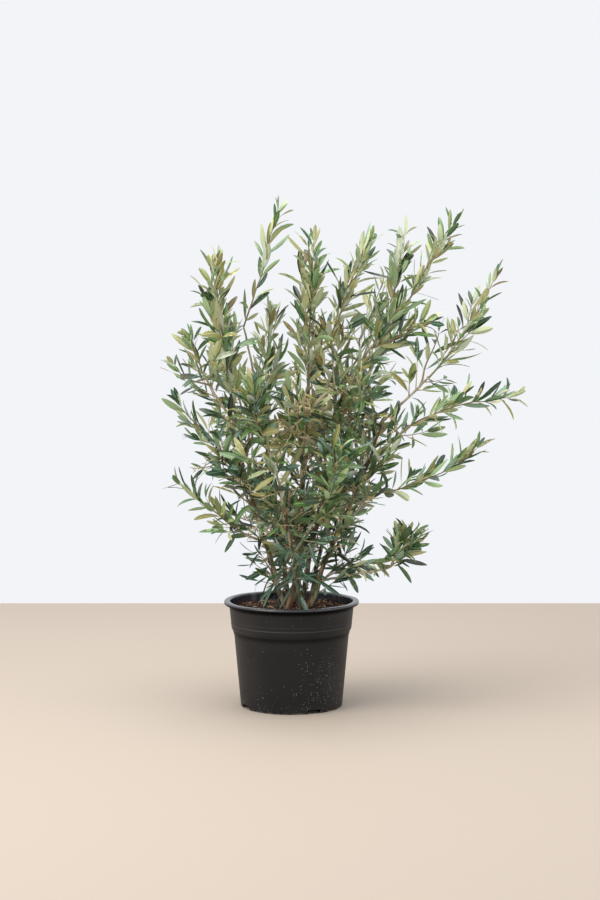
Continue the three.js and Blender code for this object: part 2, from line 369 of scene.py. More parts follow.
@dataclass(frozen=True)
class BarkFinish:
    """Thin olive bark, with pale skin over brown and rusty patches."""

    name: str
    dark: Colour
    brown: Colour
    pale: Colour
    rust: Colour
    rusty: float
    relief: float = 0.0007

    def material(self) -> bpy.types.Material:
        """Make or fetch the material."""
        return once(f"bark_{self.name}", self._dress)

    def _dress(self, sheet: NodeSheet) -> None:
        """Lay out streaks along the limb, rusty patches and a fine grain.

        Args:
            sheet: The material's sheet.
        """
        streaks = sheet.noise(95.0, 5.0, (1.0, 1.0, 0.28))
        skin = sheet.ramp(
            streaks,
            [(0.34, self.dark), (0.48, self.brown), (0.64, self.pale)],
        )
        patches = sheet.grey(sheet.noise(34.0, 3.0, (1.0, 1.0, 0.5)), 0.0, self.rusty, 0.46, 0.62)
        sheet.feed(sheet.mix(patches, skin, self.rust), "Base Color")
        sheet.feed(sheet.grey(streaks, 0.92, 0.7), "Roughness")
        grain = sheet.noise(420.0, 4.0, (1.0, 1.0, 0.3))
        sheet.bump(sheet.maths("ADD", grain, streaks), self.relief, 0.6)


@dataclass(frozen=True)
class PlasticFinish:
    """Moulded black nursery plastic: glossy with painted sheen at its lip and inside, dusted and with
    painted sheen at its sides, specked low down.
    """

    name: str = "pot_plastic"
    black: Colour = (22, 22, 23)
    shade: Colour = (9, 9, 9)
    # a grey-brown for the real dusting on the pot and also a painted sheen on its left and right sides; the
    # scratches take it too
    dust: Colour = (56, 53, 51)
    # a pale grey of wear, which also paints a highlight along the rib
    worn: Colour = (84, 83, 82)
    speck: Colour = (188, 190, 188)
    scuff: Colour = (124, 116, 104)
    # painted sheen: the bluish grey that the lip's top turns
    sheen: Colour = (46, 48, 57)
    # painted sheen: the inner wall's lighter bluish grey; the next colour paints highlights streaked on it
    inside: Colour = (48, 47, 56)
    inside_highlight: Colour = (112, 110, 120)
    specks_per_metre: float = 430.0
    worn_foot: Range = (0.0006, 0.0035)
    rib_highlight: Triple = (-0.0004, 0.0008, 0.0006)  # bottom and top from the rib, and softness
    faint_scuff: Triple = (0.0076, 0.0084, 0.0005)
    lip_shade: Triple = (-0.006, 0.0025, 0.0025)  # from the lip's underside
    step_shade: Triple = (-0.009, -0.001, 0.004)  # from the waist
    relief: float = 0.0005

    def material(self, pot: "Pot") -> bpy.types.Material:
        """Make the material.

        Args:
            pot: The pot, for its sizes.

        Returns:
            The material.
        """
        sheet = NodeSheet(self.name)
        split = sheet.tree.nodes.new("ShaderNodeSeparateXYZ")
        sheet.link(sheet.place(), split.inputs["Vector"])
        across, back, up = split.outputs
        high, wide = pot.height, pot.lip_radius

        clouds = sheet.noise(11.0, 5.0)
        # painted sheen: the pot's left and right sides turn lighter in cloudy patches, together with a real
        # dusting that also gathers low down
        flank = sheet.grey(sheet.maths("ABSOLUTE", across, 0.0), 0.15, 0.7, 0.4 * wide, 0.85 * wide)
        low = sheet.grey(up, 0.6, 0.0, 0.0, 0.12 * high)
        where = sheet.most(flank, low)
        dust_and_flank_sheen = sheet.times(sheet.grey(clouds, 0.0, 1.0, 0.3, 0.7), where)
        body = sheet.mix(dust_and_flank_sheen, self.black, self.dust)
        body = sheet.mix(self._specks(sheet, across, back, up, pot), body, self.speck)

        lines = sheet.noise(16.0, 2.0, (0.6, 0.6, 26.0))
        scratches = sheet.grey(lines, 0.0, 0.35, 0.64, 0.74)
        body = sheet.mix(scratches, body, self.dust)
        edge = sheet.grey(up, 1.0, 0.0, *self.worn_foot)
        worn = sheet.times(edge, sheet.grey(sheet.noise(45.0, 3.0), 0.0, 1.0, 0.45, 0.6))
        body = sheet.mix(worn, body, self.scuff)

        # painted highlight: a light line along the rib, varying in cloudy patches, with a fainter scuffed
        # ring above it
        ring = self._band(sheet, up, pot.rib_height, self.rib_highlight)
        faint = self._band(sheet, up, pot.rib_height, self.faint_scuff)
        strong = sheet.times(ring, 0.5)
        weak = sheet.times(faint, 0.25)
        rings = sheet.most(strong, weak)
        rib_highlight_and_scuffs = sheet.times(rings, sheet.grey(clouds, 0.5, 1.0, 0.3, 0.6))
        body = sheet.mix(rib_highlight_and_scuffs, body, self.worn)

        lip = high - pot.lip_depth
        under_lip = self._band(sheet, up, lip, self.lip_shade)
        under_step = self._band(sheet, up, pot.waist_height, self.step_shade)
        shaded = sheet.most(under_lip, sheet.times(under_step, 0.65))
        body = sheet.mix(shaded, body, self.shade)

        # painted sheen: the top of the lip turns bluish grey in noisy streaks; it is also made smoother
        lip = sheet.grey(up, 0.0, 1.0, high - 0.55 * pot.lip_depth, high - 0.3 * pot.lip_depth)
        lip_sheen_streaks = sheet.times(lip, sheet.grey(sheet.noise(70.0, 4.0), 0.35, 1.0, 0.3, 0.65))
        body = sheet.mix(lip_sheen_streaks, body, self.sheen)
        reach = sheet.tree.nodes.new("ShaderNodeVectorMath")
        reach.operation = "LENGTH"
        sheet.link(sheet.place((1.0, 1.0, 0.0)), reach.inputs[0])
        middle = (pot.shoulder_radius - 0.5 * pot.wall, pot.collar_radius - 0.5 * pot.wall)
        within = sheet.grey(up, *middle, pot.shoulder_height, high - pot.lip_depth)
        inner = sheet.maths("LESS_THAN", reach.outputs["Value"], within)
        inner = sheet.times(inner, sheet.maths("GREATER_THAN", up, pot.shoulder_height))
        # painted sheen and highlight: the inner wall above the shoulder gets the lighter bluish grey, with
        # paler vertical streaks
        highlight_streaks = sheet.grey(sheet.noise(38.0, 3.0, (1.0, 1.0, 0.25)), 0.0, 1.0, 0.54, 0.7)
        inside_sheen = sheet.mix(highlight_streaks, self.inside, self.inside_highlight)
        sheet.feed(sheet.mix(inner, body, inside_sheen), "Base Color")

        shiny = sheet.most(lip, inner)
        rough = sheet.maths("SUBTRACT", sheet.grey(clouds, 0.44, 0.6), sheet.times(shiny, 0.28))
        sheet.feed(rough, "Roughness")
        glossy = sheet.maths("SUBTRACT", sheet.grey(shiny, 0.24, 0.7), sheet.times(shaded, 0.2))
        sheet.feed(glossy, "Specular IOR Level")
        grain = sheet.times(sheet.noise(700.0, 2.0), 0.5)
        sheet.bump(sheet.maths("ADD", grain, lines), self.relief, 0.35)
        return sheet.material

    @staticmethod
    def _band(sheet: NodeSheet, up: Socket, level: float, band: Triple) -> Socket:
        """Pick out a level band with soft edges.

        Args:
            sheet: The material's sheet.
            up: The height's socket.
            level: The height that the band is measured from.
            band: Its bottom and top from that height, and how far its edges fade.

        Returns:
            The band's socket, 0 to 1.
        """
        low, high, soft = level + band[0], level + band[1], band[2]
        rising = sheet.grey(up, 0.0, 1.0, low - soft, low + soft)
        falling = sheet.grey(up, 1.0, 0.0, high - 0.4 * soft, high + 0.4 * soft)
        return sheet.times(rising, falling)

    def _specks(
        self, sheet: NodeSheet, across: Socket, back: Socket, up: Socket, pot: "Pot"
    ) -> Socket:
        """Scatter fine pale specks, most of them low on the right of the front.

        Args:
            sheet: The material's sheet.
            across: The socket of X.
            back: The socket of Y.
            up: The socket of Z.
            pot: The pot, for its sizes.

        Returns:
            The specks' socket, 0 to 1.
        """
        cells = sheet.tree.nodes.new("ShaderNodeTexVoronoi")
        cells.inputs["Scale"].default_value = self.specks_per_metre
        sheet.link(sheet.place(), cells.inputs["Vector"])
        picks = sheet.tree.nodes.new("ShaderNodeSeparateColor")
        sheet.link(cells.outputs["Color"], picks.inputs["Color"])
        dots = sheet.grey(cells.outputs["Distance"], 1.0, 0.0, 0.16, 0.27)
        wide, high = pot.lip_radius, pot.height
        right = sheet.grey(across, 0.0, 1.0, -0.05 * wide, 0.45 * wide)
        front = sheet.grey(back, 1.0, 0.0, -0.45 * wide, -0.1 * wide)
        below = sheet.grey(up, 1.0, 0.0, 0.3 * high, 0.68 * high)
        crowd = sheet.times(sheet.times(right, front), below)
        foot = sheet.grey(up, 0.55, 0.0, 0.05 * high, 0.22 * high)
        patches = sheet.grey(sheet.noise(26.0, 2.0), 0.25, 1.0, 0.35, 0.6)
        crowd = sheet.times(sheet.most(crowd, foot), patches)
        chosen = sheet.maths("GREATER_THAN", picks.outputs["Red"], sheet.grey(crowd, 0.99, 0.5))
        return sheet.times(sheet.times(dots, chosen), picks.outputs["Green"])


@dataclass(frozen=True)
class CompostFinish:
    """Moist potting compost."""

    name: str = "compost"
    dark: Colour = (34, 25, 20)
    brown: Colour = (74, 52, 38)
    fibre: Colour = (128, 98, 70)

    def material(self) -> bpy.types.Material:
        """Make the material.

        Returns:
            The material.
        """
        sheet = NodeSheet(self.name)
        crumbs = sheet.noise(210.0, 6.0)
        stops = [(0.32, self.dark), (0.52, self.brown), (0.72, self.fibre)]
        sheet.feed(sheet.ramp(crumbs, stops), "Base Color")
        sheet.feed(sheet.grey(crumbs, 0.8, 1.0), "Roughness")
        sheet.bump(sheet.noise(320.0, 5.0), 0.003, 0.9)
        return sheet.material


# ---------------------------------------------------------------- lines and meshes


@dataclass
class Whorl:
    """The ways out round a line, carried along it without spin."""

    runs: np.ndarray
    across: np.ndarray
    over: np.ndarray

    def out(self, run: float, angle: float) -> np.ndarray:
        """Give the way out at a distance along the line and an angle round it."""
        index = int(np.searchsorted(self.runs, run).clip(0, len(self.runs) - 1))
        return math.cos(angle) * self.across[index] + math.sin(angle) * self.over[index]


@dataclass
class Centreline:
    """A line through the middle of a limb or shoot, with its radius at each point."""

    points: np.ndarray
    radii: np.ndarray

    @classmethod
    def through(cls, node: bpy.types.Object, slices: int, foot_near: np.ndarray) -> "Centreline":
        """Find the line through a long solid by slicing it across its length.

        Args:
            node: The solid.
            slices: How many slices to take.
            foot_near: A point that the foot end is nearer to.

        Returns:
            The line, from foot to tip.
        """
        mesh = node.data
        places = np.empty(len(mesh.vertices) * 3)
        mesh.vertices.foreach_get("co", places)
        places = places.reshape(-1, 3)
        ends = np.empty(len(mesh.edges) * 2, dtype=int)
        mesh.edges.foreach_get("vertices", ends)
        ends = ends.reshape(-1, 2)
        axis = np.linalg.svd(places - places.mean(0), full_matrices=False)[2][0]
        along = places @ axis
        low, high = along.min(), along.max()
        middle = [places[along < low + END_ZONE].mean(0)]
        radii = [0.0]
        first, second = along[ends[:, 0]], along[ends[:, 1]]
        for level in np.linspace(low, high, slices + 2)[1:-1]:
            crossed = (first - level) * (second - level) < 0.0
            share = (level - first[crossed]) / (second[crossed] - first[crossed])
            start = places[ends[crossed, 0]]
            cuts = start + share[:, None] * (places[ends[crossed, 1]] - start)
            middle.append(cuts.mean(0))
            radii.append(float(np.linalg.norm(cuts - cuts.mean(0), axis=1).mean()))
        middle.append(places[along > high - END_ZONE].mean(0))
        radii.append(radii[-1])
        radii[0] = radii[1]
        line = cls(np.array(middle), np.array(radii))
        if np.linalg.norm(line.points[-1] - foot_near) < np.linalg.norm(line.points[0] - foot_near):
            line = cls(line.points[::-1].copy(), line.radii[::-1].copy())
        return line

    @property
    def runs(self) -> np.ndarray:
        """Give how far along the line each point lies."""
        steps = np.linalg.norm(np.diff(self.points, axis=0), axis=1)
        return np.concatenate([[0.0], np.cumsum(steps)])

    @property
    def length(self) -> float:
        """Give the line's length."""
        return float(self.runs[-1])

    def smooth(self, step: float) -> "Centreline":
        """Pass a smooth curve through the points.

        Args:
            step: The spacing of the new points.

        Returns:
            The smooth line.
        """
        fine = []
        count = len(self.points)
        for i in range(count - 1):
            before, start = self.points[max(i - 1, 0)], self.points[i]
            end, after = self.points[i + 1], self.points[min(i + 2, count - 1)]
            parts = max(2, round(float(np.linalg.norm(end - start)) / step))
            for t in np.arange(parts) / parts:
                fine.append(
                    0.5
                    * (
                        2.0 * start
                        + (end - before) * t
                        + (2.0 * before - 5.0 * start + 4.0 * end - after) * t**2
                        + (3.0 * start - before - 3.0 * end + after) * t**3
                    )
                )
        fine.append(self.points[-1])
        line = Centreline(np.array(fine), np.zeros(len(fine)))
        share = line.runs / line.length
        line.radii = np.interp(share, self.runs / self.length, self.radii)
        return line

    def at(self, run: float) -> np.ndarray:
        """Give the point at a distance along the line."""
        runs = self.runs
        return np.array([np.interp(run, runs, self.points[:, k]) for k in range(3)])

    def along(self, run: float, reach: float = 0.004) -> np.ndarray:
        """Give the direction at a distance along the line."""
        return unit(self.at(min(run + reach, self.length)) - self.at(max(run - reach, 0.0)))

    def radius(self, run: float) -> float:
        """Give the radius at a distance along the line."""
        return float(np.interp(run, self.runs, self.radii))

    def nearest(self, point: np.ndarray) -> tuple[float, float]:
        """Find the point of the line that is nearest to another point.

        Args:
            point: The other point.

        Returns:
            Its distance, and how far along the line it lies.
        """
        gaps = np.linalg.norm(self.points - point, axis=1)
        index = int(gaps.argmin())
        return float(gaps[index]), float(self.runs[index])

    def whorl(self) -> Whorl:
        """Carry a pair of cross directions along the line without spin.

        Returns:
            The ways out at each point.
        """
        tangents = np.gradient(self.points, axis=0)
        tangents /= np.linalg.norm(tangents, axis=1)[:, None]
        guess = np.array([1.0, 0.0, 0.0]) if abs(tangents[0][0]) < 0.8 else np.array([0.0, 1.0, 0.0])
        sides = [unit(guess - tangents[0] * (guess @ tangents[0]))]
        for tangent in tangents[1:]:
            sides.append(unit(sides[-1] - tangent * (sides[-1] @ tangent)))
        across = np.array(sides)
        return Whorl(self.runs, across, np.cross(tangents, across))


class MeshSink:
    """Gathers corners and faces of one piece, each face with the number of its material."""

    def __init__(self) -> None:
        """Start with nothing."""
        self.corners: list[np.ndarray] = []
        self.faces: list[tuple[int, ...]] = []
        self.slots: list[int] = []
        self.count = 0

    def add(
        self,
        corners: np.ndarray,
        faces: Sequence[tuple[int, ...]],
        slots: int | Sequence[int] = 0,
    ) -> None:
        """Add a shape.

        Args:
            corners: Its corners.
            faces: Its faces, as numbers of its own corners.
            slots: Its material number, or one for each face.
        """
        self.corners.append(corners)
        self.faces.extend(tuple(i + self.count for i in face) for face in faces)
        self.slots.extend([slots] * len(faces) if isinstance(slots, int) else slots)
        self.count += len(corners)

    def piece(
        self, name: str, materials: Sequence[bpy.types.Material], smooth: bool = True
    ) -> bpy.types.Object:
        """Make the piece.

        Args:
            name: Its name.
            materials: Its materials, in the order of their numbers.
            smooth: Whether its faces are shaded smooth.

        Returns:
            The new object, in the scene.
        """
        mesh = bpy.data.meshes.new(name)
        mesh.from_pydata(np.concatenate(self.corners).tolist(), [], self.faces)
        for material in materials:
            mesh.materials.append(material)
        mesh.polygons.foreach_set("material_index", self.slots)
        mesh.polygons.foreach_set("use_smooth", [smooth] * len(mesh.polygons))
        mesh.update()
        piece = bpy.data.objects.new(name, mesh)
        bpy.context.scene.collection.objects.link(piece)
        return piece


def sweep(
    sink: MeshSink,
    line: Centreline,
    sides: int,
    slot: int = 0,
    relief: Callable[[float, float], float] | None = None,
) -> None:
    """Sweep a closed round skin along a line.

    Args:
        sink: Where the skin goes.
        line: The line, with its radii.
        sides: How many sides the skin has.
        slot: Its material number.
        relief: Gives the factor on the radius at an angle and a run along the line.
    """
    whorl = line.whorl()
    angles = np.arange(sides) * TURN / sides
    rings = []
    for i, run in enumerate(line.runs):
        factors = np.ones(sides) if relief is None else np.array([relief(a, run) for a in angles])
        ring = np.outer(np.cos(angles) * factors, whorl.across[i])
        ring += np.outer(np.sin(angles) * factors, whorl.over[i])
        rings.append(line.points[i] + ring * line.radii[i])
    count = len(rings)
    corners = np.concatenate([*rings, line.points[:1], line.points[-1:]])
    faces: list[tuple[int, ...]] = []
    for i in range(count - 1):
        for j in range(sides):
            k = (j + 1) % sides
            faces.append((i * sides + j, i * sides + k, (i + 1) * sides + k, (i + 1) * sides + j))
    foot, tip = count * sides, count * sides + 1
    last = (count - 1) * sides
    for j in range(sides):
        k = (j + 1) % sides
        faces.append((foot, k, j))
        faces.append((tip, last + j, last + k))
    sink.add(corners, faces, slot)


# ---------------------------------------------------------------- leaves


@dataclass
class Leaf:
    """One leaf: where it sits, which way it points and faces, and its shape."""

    base: np.ndarray
    direction: np.ndarray
    facing: np.ndarray
    length: float
    width: float
    fold: float
    arch: float
    twist: float
    tint: Tint


@dataclass(frozen=True)
class LeafBlade:
    """The shape that all leaves share: a short stalk and a narrow blade, folded on its pale midrib."""

    stations: tuple[float, ...] = (0.08, 0.18, 0.34, 0.56, 0.78, 0.93)
    stalk: float = 0.08
    stalk_width: float = 0.12
    fullness: float = 0.72
    lean: float = 0.98
    thickness: float = 0.0005
    rib: float = 0.07
    ring: int = 5

    def half_widths(self) -> np.ndarray:
        """Give the half width at each station, as a share of the fullest.

        Returns:
            The half widths.
        """
        share = (np.array(self.stations) - self.stalk) / (1.0 - self.stalk)
        share = share**self.lean
        return np.maximum((4.0 * share * (1.0 - share)) ** self.fullness, self.stalk_width)

    def faces(self) -> tuple[list[tuple[int, ...]], list[bool]]:
        """Give one leaf's faces.

        Returns:
            The faces as numbers of the leaf's corners, and whether each has the pale tint of the
            underside, as the midrib has too.
        """
        size = self.ring
        last = 1 + size * len(self.stations)
        pale = [False, True, False, True, True]
        faces: list[tuple[int, ...]] = []
        for k in range(size):
            faces.append((0, 1 + (k + 1) % size, 1 + k))
        for start in range(1, last - size, size):
            for k in range(size):
                here, there = start + k, start + (k + 1) % size
                faces.append((here, there, there + size, here + size))
        for k in range(size):
            faces.append((last - size + k, last - size + (k + 1) % size, last))
        return faces, pale * (len(self.stations) + 1)

    def corners(self, leaves: Sequence[Leaf]) -> np.ndarray:
        """Place the corners of many leaves at once.

        Args:
            leaves: The leaves.

        Returns:
            Corners, as leaf by corner by X, Y and Z.
        """
        base = np.array([leaf.base for leaf in leaves])
        ahead = np.array([unit(leaf.direction) for leaf in leaves])
        facing = np.array([leaf.facing for leaf in leaves])
        facing -= ahead * (facing * ahead).sum(1)[:, None]
        facing /= np.linalg.norm(facing, axis=1)[:, None]
        length, width, fold, arch, twist = (
            np.array([getattr(leaf, name) for leaf in leaves])
            for name in ("length", "width", "fold", "arch", "twist")
        )
        arch = np.where(np.abs(arch) < 0.02, 0.02, arch)
        side = np.cross(ahead, facing)

        def spine(share: float) -> np.ndarray:
            """Give the midrib's points at a share of the length.

            Args:
                share: The share, 0 at the foot and 1 at the tip.

            Returns:
                Each leaf's point.
            """
            forward = np.sin(arch * share) / arch
            drop = (1.0 - np.cos(arch * share)) / arch
            return base + length[:, None] * (ahead * forward[:, None] - facing * drop[:, None])

        rows = [spine(0.0)]
        for share, half in zip(self.stations, self.half_widths()):
            middle = spine(share)
            turned = facing * np.cos(arch * share)[:, None] + ahead * np.sin(arch * share)[:, None]
            spin = twist * share
            edge = side * np.cos(spin)[:, None] + turned * np.sin(spin)[:, None]
            normal = turned * np.cos(spin)[:, None] - side * np.sin(spin)[:, None]
            reach = (half * 0.5 * width)[:, None]
            down = normal * reach * np.sin(fold)[:, None]
            out = edge * reach * np.cos(fold)[:, None]
            raised = normal * (0.5 * self.thickness)
            beside = edge * reach * self.rib
            rows += [middle - out - down, middle + raised - beside, middle + raised + beside]
            rows += [middle + out - down, middle - raised]
        rows.append(spine(1.0))
        return np.stack(rows, axis=1)

    def piece(self, name: str, leaves: Sequence[Leaf]) -> bpy.types.Object:
        """Join leaves into one piece, with the rims and midribs kept crisp.

        Args:
            name: The piece's name.
            leaves: The leaves.

        Returns:
            The new object.
        """
        tints = [tint for tint in Tint if any(leaf.tint is tint for leaf in leaves)]
        materials = [tint.value.material(below) for tint in tints for below in (False, True)]
        faces, below = self.faces()
        sink = MeshSink()
        for leaf, corners in zip(leaves, self.corners(leaves)):
            slot = 2 * tints.index(leaf.tint)
            sink.add(corners, faces, [slot + side for side in below])
        piece = sink.piece(name, materials)
        self._crisp(piece.data)
        return piece

    def _crisp(self, mesh: bpy.types.Mesh) -> None:
        """Mark every edge that runs along a leaf as sharp.

        Args:
            mesh: The leaves' mesh.
        """
        per_leaf = 2 + self.ring * len(self.stations)
        ends = np.empty(len(mesh.edges) * 2, dtype=int)
        mesh.edges.foreach_get("vertices", ends)
        kinds = ends.reshape(-1, 2) % per_leaf
        tip = per_leaf - 1
        ending = ((kinds == 0) | (kinds == tip)).any(1)
        same = (kinds[:, 0] - 1) % self.ring == (kinds[:, 1] - 1) % self.ring
        mesh.edges.foreach_set("use_edge_sharp", ending | same)


# ---------------------------------------------------------------- habits


def blend(**weights: int) -> tuple[tuple[Tint, int], ...]:
    """Give the tints named in lower case, each with its weight."""
    return tuple((Tint[name.upper()], weight) for name, weight in weights.items())


class Mood(Enum):
    """Mixtures of tints."""

    SUNLIT = blend(fresh=6, khaki=5, mid=4, pale=4, bottle=2, blue=1, deep=2, russet=1)
    MIXED = blend(mid=5, bottle=3, khaki=4, deep=4, blue=3, fresh=3, pale=1)
    SHADED = blend(deep=6, blue=5, bottle=3, mid=4, khaki=2, pale=2)
    GREEN = blend(bottle=4, mid=5, deep=2, blue=2, khaki=2, fresh=2)
    DRY = blend(russet=5, mid=4, khaki=5, deep=3, blue=3, pale=1)
    DARK = blend(deep=3, blue=6, bottle=3, mid=1)


@dataclass(frozen=True)
class Habit:
    """How a spray grows, in metres, degrees and shares."""

    internode: float = 0.0175  # between pairs of leaves
    bare: float = 0.05  # share of a shoot's foot without side shoots, and of the leader's without leaves
    naked: float = 0.0  # share of a side shoot without leaves
    leaf: float = 0.052  # length
    slenderness: float = 0.212  # width over length
    spread_foot: float = 50.0  # a leaf's angle from the shoot, at the shoot's foot
    spread_tip: float = 24.0  # the same at its tip
    untidy: float = 12.0  # how far leaves stray from that spread
    kept: float = 0.95  # share of leaves that grow
    side_step: float = 0.028  # between pairs of side shoots
    side_chance: float = 0.6  # share of side shoots that grow
    side_angle: float = 34.0
    side_longest: float = 0.09
    side_shortest: float = 0.02
    youth: float = 0.3  # how much shorter the last leaves are
    taper: float = 0.8  # length of a side shoot against what is left of its shoot
    orders: int = 1  # times that shoots branch
    lift: float = 0.4  # how far side shoots bend upwards
    droop: float = 0.0  # how far leaves hang
    crowding: int = 6  # leaves that a cube of air holds
    clearance: float = 0.027  # kept inside the solid
    upward: float = 0.0  # how far side shoots set off upwards
    roll: float = 0.6  # usual turn of a leaf about its own length, in radians
    sideways: float = 0.0  # how far the leader's tip bends towards +X
    stalks: float = 0.0  # chance of a dry flower stalk


class Growth(Enum):
    """The habits of the bush's sprays."""

    WAND = Habit(
        internode=0.021,
        leaf=0.056,
        slenderness=0.23,
        side_chance=0.25,
        side_longest=0.045,
        kept=0.86,
        youth=0.3,
    )
    SPIRE = Habit(
        internode=0.018,
        leaf=0.055,
        slenderness=0.225,
        side_step=0.019,
        side_angle=25.0,
        side_longest=0.13,
        spread_foot=40.0,
        lift=0.8,
        clearance=0.008,
    )
    ARM = Habit(internode=0.016, side_chance=0.7, side_longest=0.08, lift=0.7, upward=0.6, droop=-0.25)
    THICKET = Habit(
        internode=0.0165,
        slenderness=0.2,
        bare=0.2,
        naked=0.2,
        side_step=0.018,
        side_chance=0.9,
        side_angle=48.0,
        side_longest=0.13,
        orders=2,
        crowding=4,
        spread_foot=58.0,
        spread_tip=34.0,
        untidy=18.0,
        lift=0.25,
        stalks=0.4,
    )
    TUFT = Habit(
        internode=0.009,
        leaf=0.05,
        bare=0.0,
        side_step=0.009,
        side_chance=0.9,
        side_angle=42.0,
        spread_foot=40.0,
        crowding=14,
        clearance=0.026,
        lift=1.0,
        upward=1.3,
    )
    HANGING = Habit(
        slenderness=0.16,
        bare=0.3,
        side_chance=0.8,
        side_longest=0.08,
        side_angle=46.0,
        lift=0.0,
        droop=0.5,
        crowding=4,
    )


@dataclass(frozen=True)
class Character:
    """What sets one spray apart: its habit, its tints, and how high a twin rides over its bough."""

    habit: Habit
    mood: Mood
    twin: float


def spray(growth: Growth, mood: Mood, twin: float = 0.0, **changes: float) -> Character:
    """Describe one spray.

    Args:
        growth: The habit that it starts from.
        mood: Its tints.
        twin: How high a second shoot rides over its bough, or zero for no such shoot.
        changes: Its own values in that habit.

    Returns:
        Its character.
    """
    return Character(replace(growth.value, **changes), mood, twin)


CHARACTERS = {
    "left_spire": spray(
        Growth.SPIRE, Mood.SUNLIT, clearance=0.001, side_angle=22.0, taper=1.6,
        side_longest=0.11, kept=1.0,
    ),
    "tall_wand": spray(
        Growth.WAND, Mood.SUNLIT, side_chance=0.5, side_longest=0.06, taper=0.3, sideways=0.014
    ),
    "centre_spire": spray(Growth.SPIRE, Mood.SUNLIT, side_chance=0.62, taper=1.4, crowding=5, kept=0.88),
    "left_arm": spray(Growth.ARM, Mood.MIXED, side_chance=1.0, clearance=0.01),
    "left_tip": spray(Growth.WAND, Mood.GREEN, leaf=0.048, slenderness=0.2),
    "mid_left": spray(Growth.ARM, Mood.MIXED, side_chance=0.2, crowding=4, clearance=0.04, kept=0.75),
    "lower_left": spray(Growth.ARM, Mood.GREEN, side_chance=0.5, crowding=4, clearance=0.032),
    "inner_left": spray(Growth.ARM, Mood.SUNLIT, side_step=0.02, side_chance=0.7, clearance=-0.006),
    "centre_wand": spray(Growth.SPIRE, Mood.SUNLIT, clearance=0.014, side_chance=0.78),
    "right_crest": spray(Growth.SPIRE, Mood.SUNLIT, clearance=0.022, side_chance=0.2, kept=0.7, bare=0.2),
    "right_peak": spray(
        Growth.ARM, Mood.SUNLIT, side_longest=0.065, side_chance=0.85, clearance=0.008, upward=0.1
    ),
    "right_shoulder": spray(Growth.ARM, Mood.MIXED, side_chance=0.5),
    "right_top": spray(Growth.SPIRE, Mood.SUNLIT, side_chance=0.2, crowding=4, kept=0.5, clearance=0.014),
    "right_arm": spray(
        Growth.SPIRE, Mood.SUNLIT, clearance=0.014, bare=0.0, side_chance=0.68, crowding=5, lift=0.6
    ),
    "right_upright": spray(Growth.WAND, Mood.MIXED, bare=0.3, kept=0.6),
    "far_right": spray(Growth.ARM, Mood.MIXED, clearance=0.02, crowding=5, kept=0.85),
    "right_mid": spray(Growth.ARM, Mood.MIXED),
    "right_lower": spray(Growth.ARM, Mood.GREEN, bare=0.12, side_chance=0.6),
    "low_right": spray(Growth.TUFT, Mood.MIXED, twin=0.018, side_longest=0.055),
    "right_foot": spray(
        Growth.ARM, Mood.DARK, side_step=0.015, side_chance=0.2, clearance=-0.01, upward=1.0, kept=0.5
    ),
    "left_foot": spray(Growth.HANGING, Mood.DARK, side_chance=0.3, kept=0.55, droop=0.2, clearance=0.045),
    "heart_left": spray(Growth.THICKET, Mood.MIXED),
    "heart_right": spray(Growth.THICKET, Mood.MIXED, clearance=-0.004),
    "heart_centre": spray(Growth.THICKET, Mood.DRY, stalks=0.5, clearance=0.01),
    "heart_low": spray(Growth.THICKET, Mood.SHADED),
    "left_waist": spray(Growth.THICKET, Mood.SHADED, clearance=0.022),
    "right_waist": spray(Growth.THICKET, Mood.SHADED, clearance=0.066),
    "front_left": spray(Growth.SPIRE, Mood.MIXED),
    "front_right": spray(Growth.SPIRE, Mood.GREEN),
    "front_foot": spray(Growth.HANGING, Mood.DARK, side_step=0.018, side_chance=0.5, kept=0.72),
    "back_tall": spray(Growth.SPIRE, Mood.SUNLIT, side_chance=0.1, bare=0.8, kept=0.6),
    "back_left": spray(Growth.SPIRE, Mood.MIXED),
    "back_right": spray(Growth.SPIRE, Mood.MIXED, side_chance=0.3, clearance=0.024),
    "back_low_left": spray(Growth.THICKET, Mood.SHADED),
    "back_low_right": spray(Growth.THICKET, Mood.SHADED),
    "back_heart": spray(Growth.THICKET, Mood.MIXED),
}


# ---------------------------------------------------------------- limbs


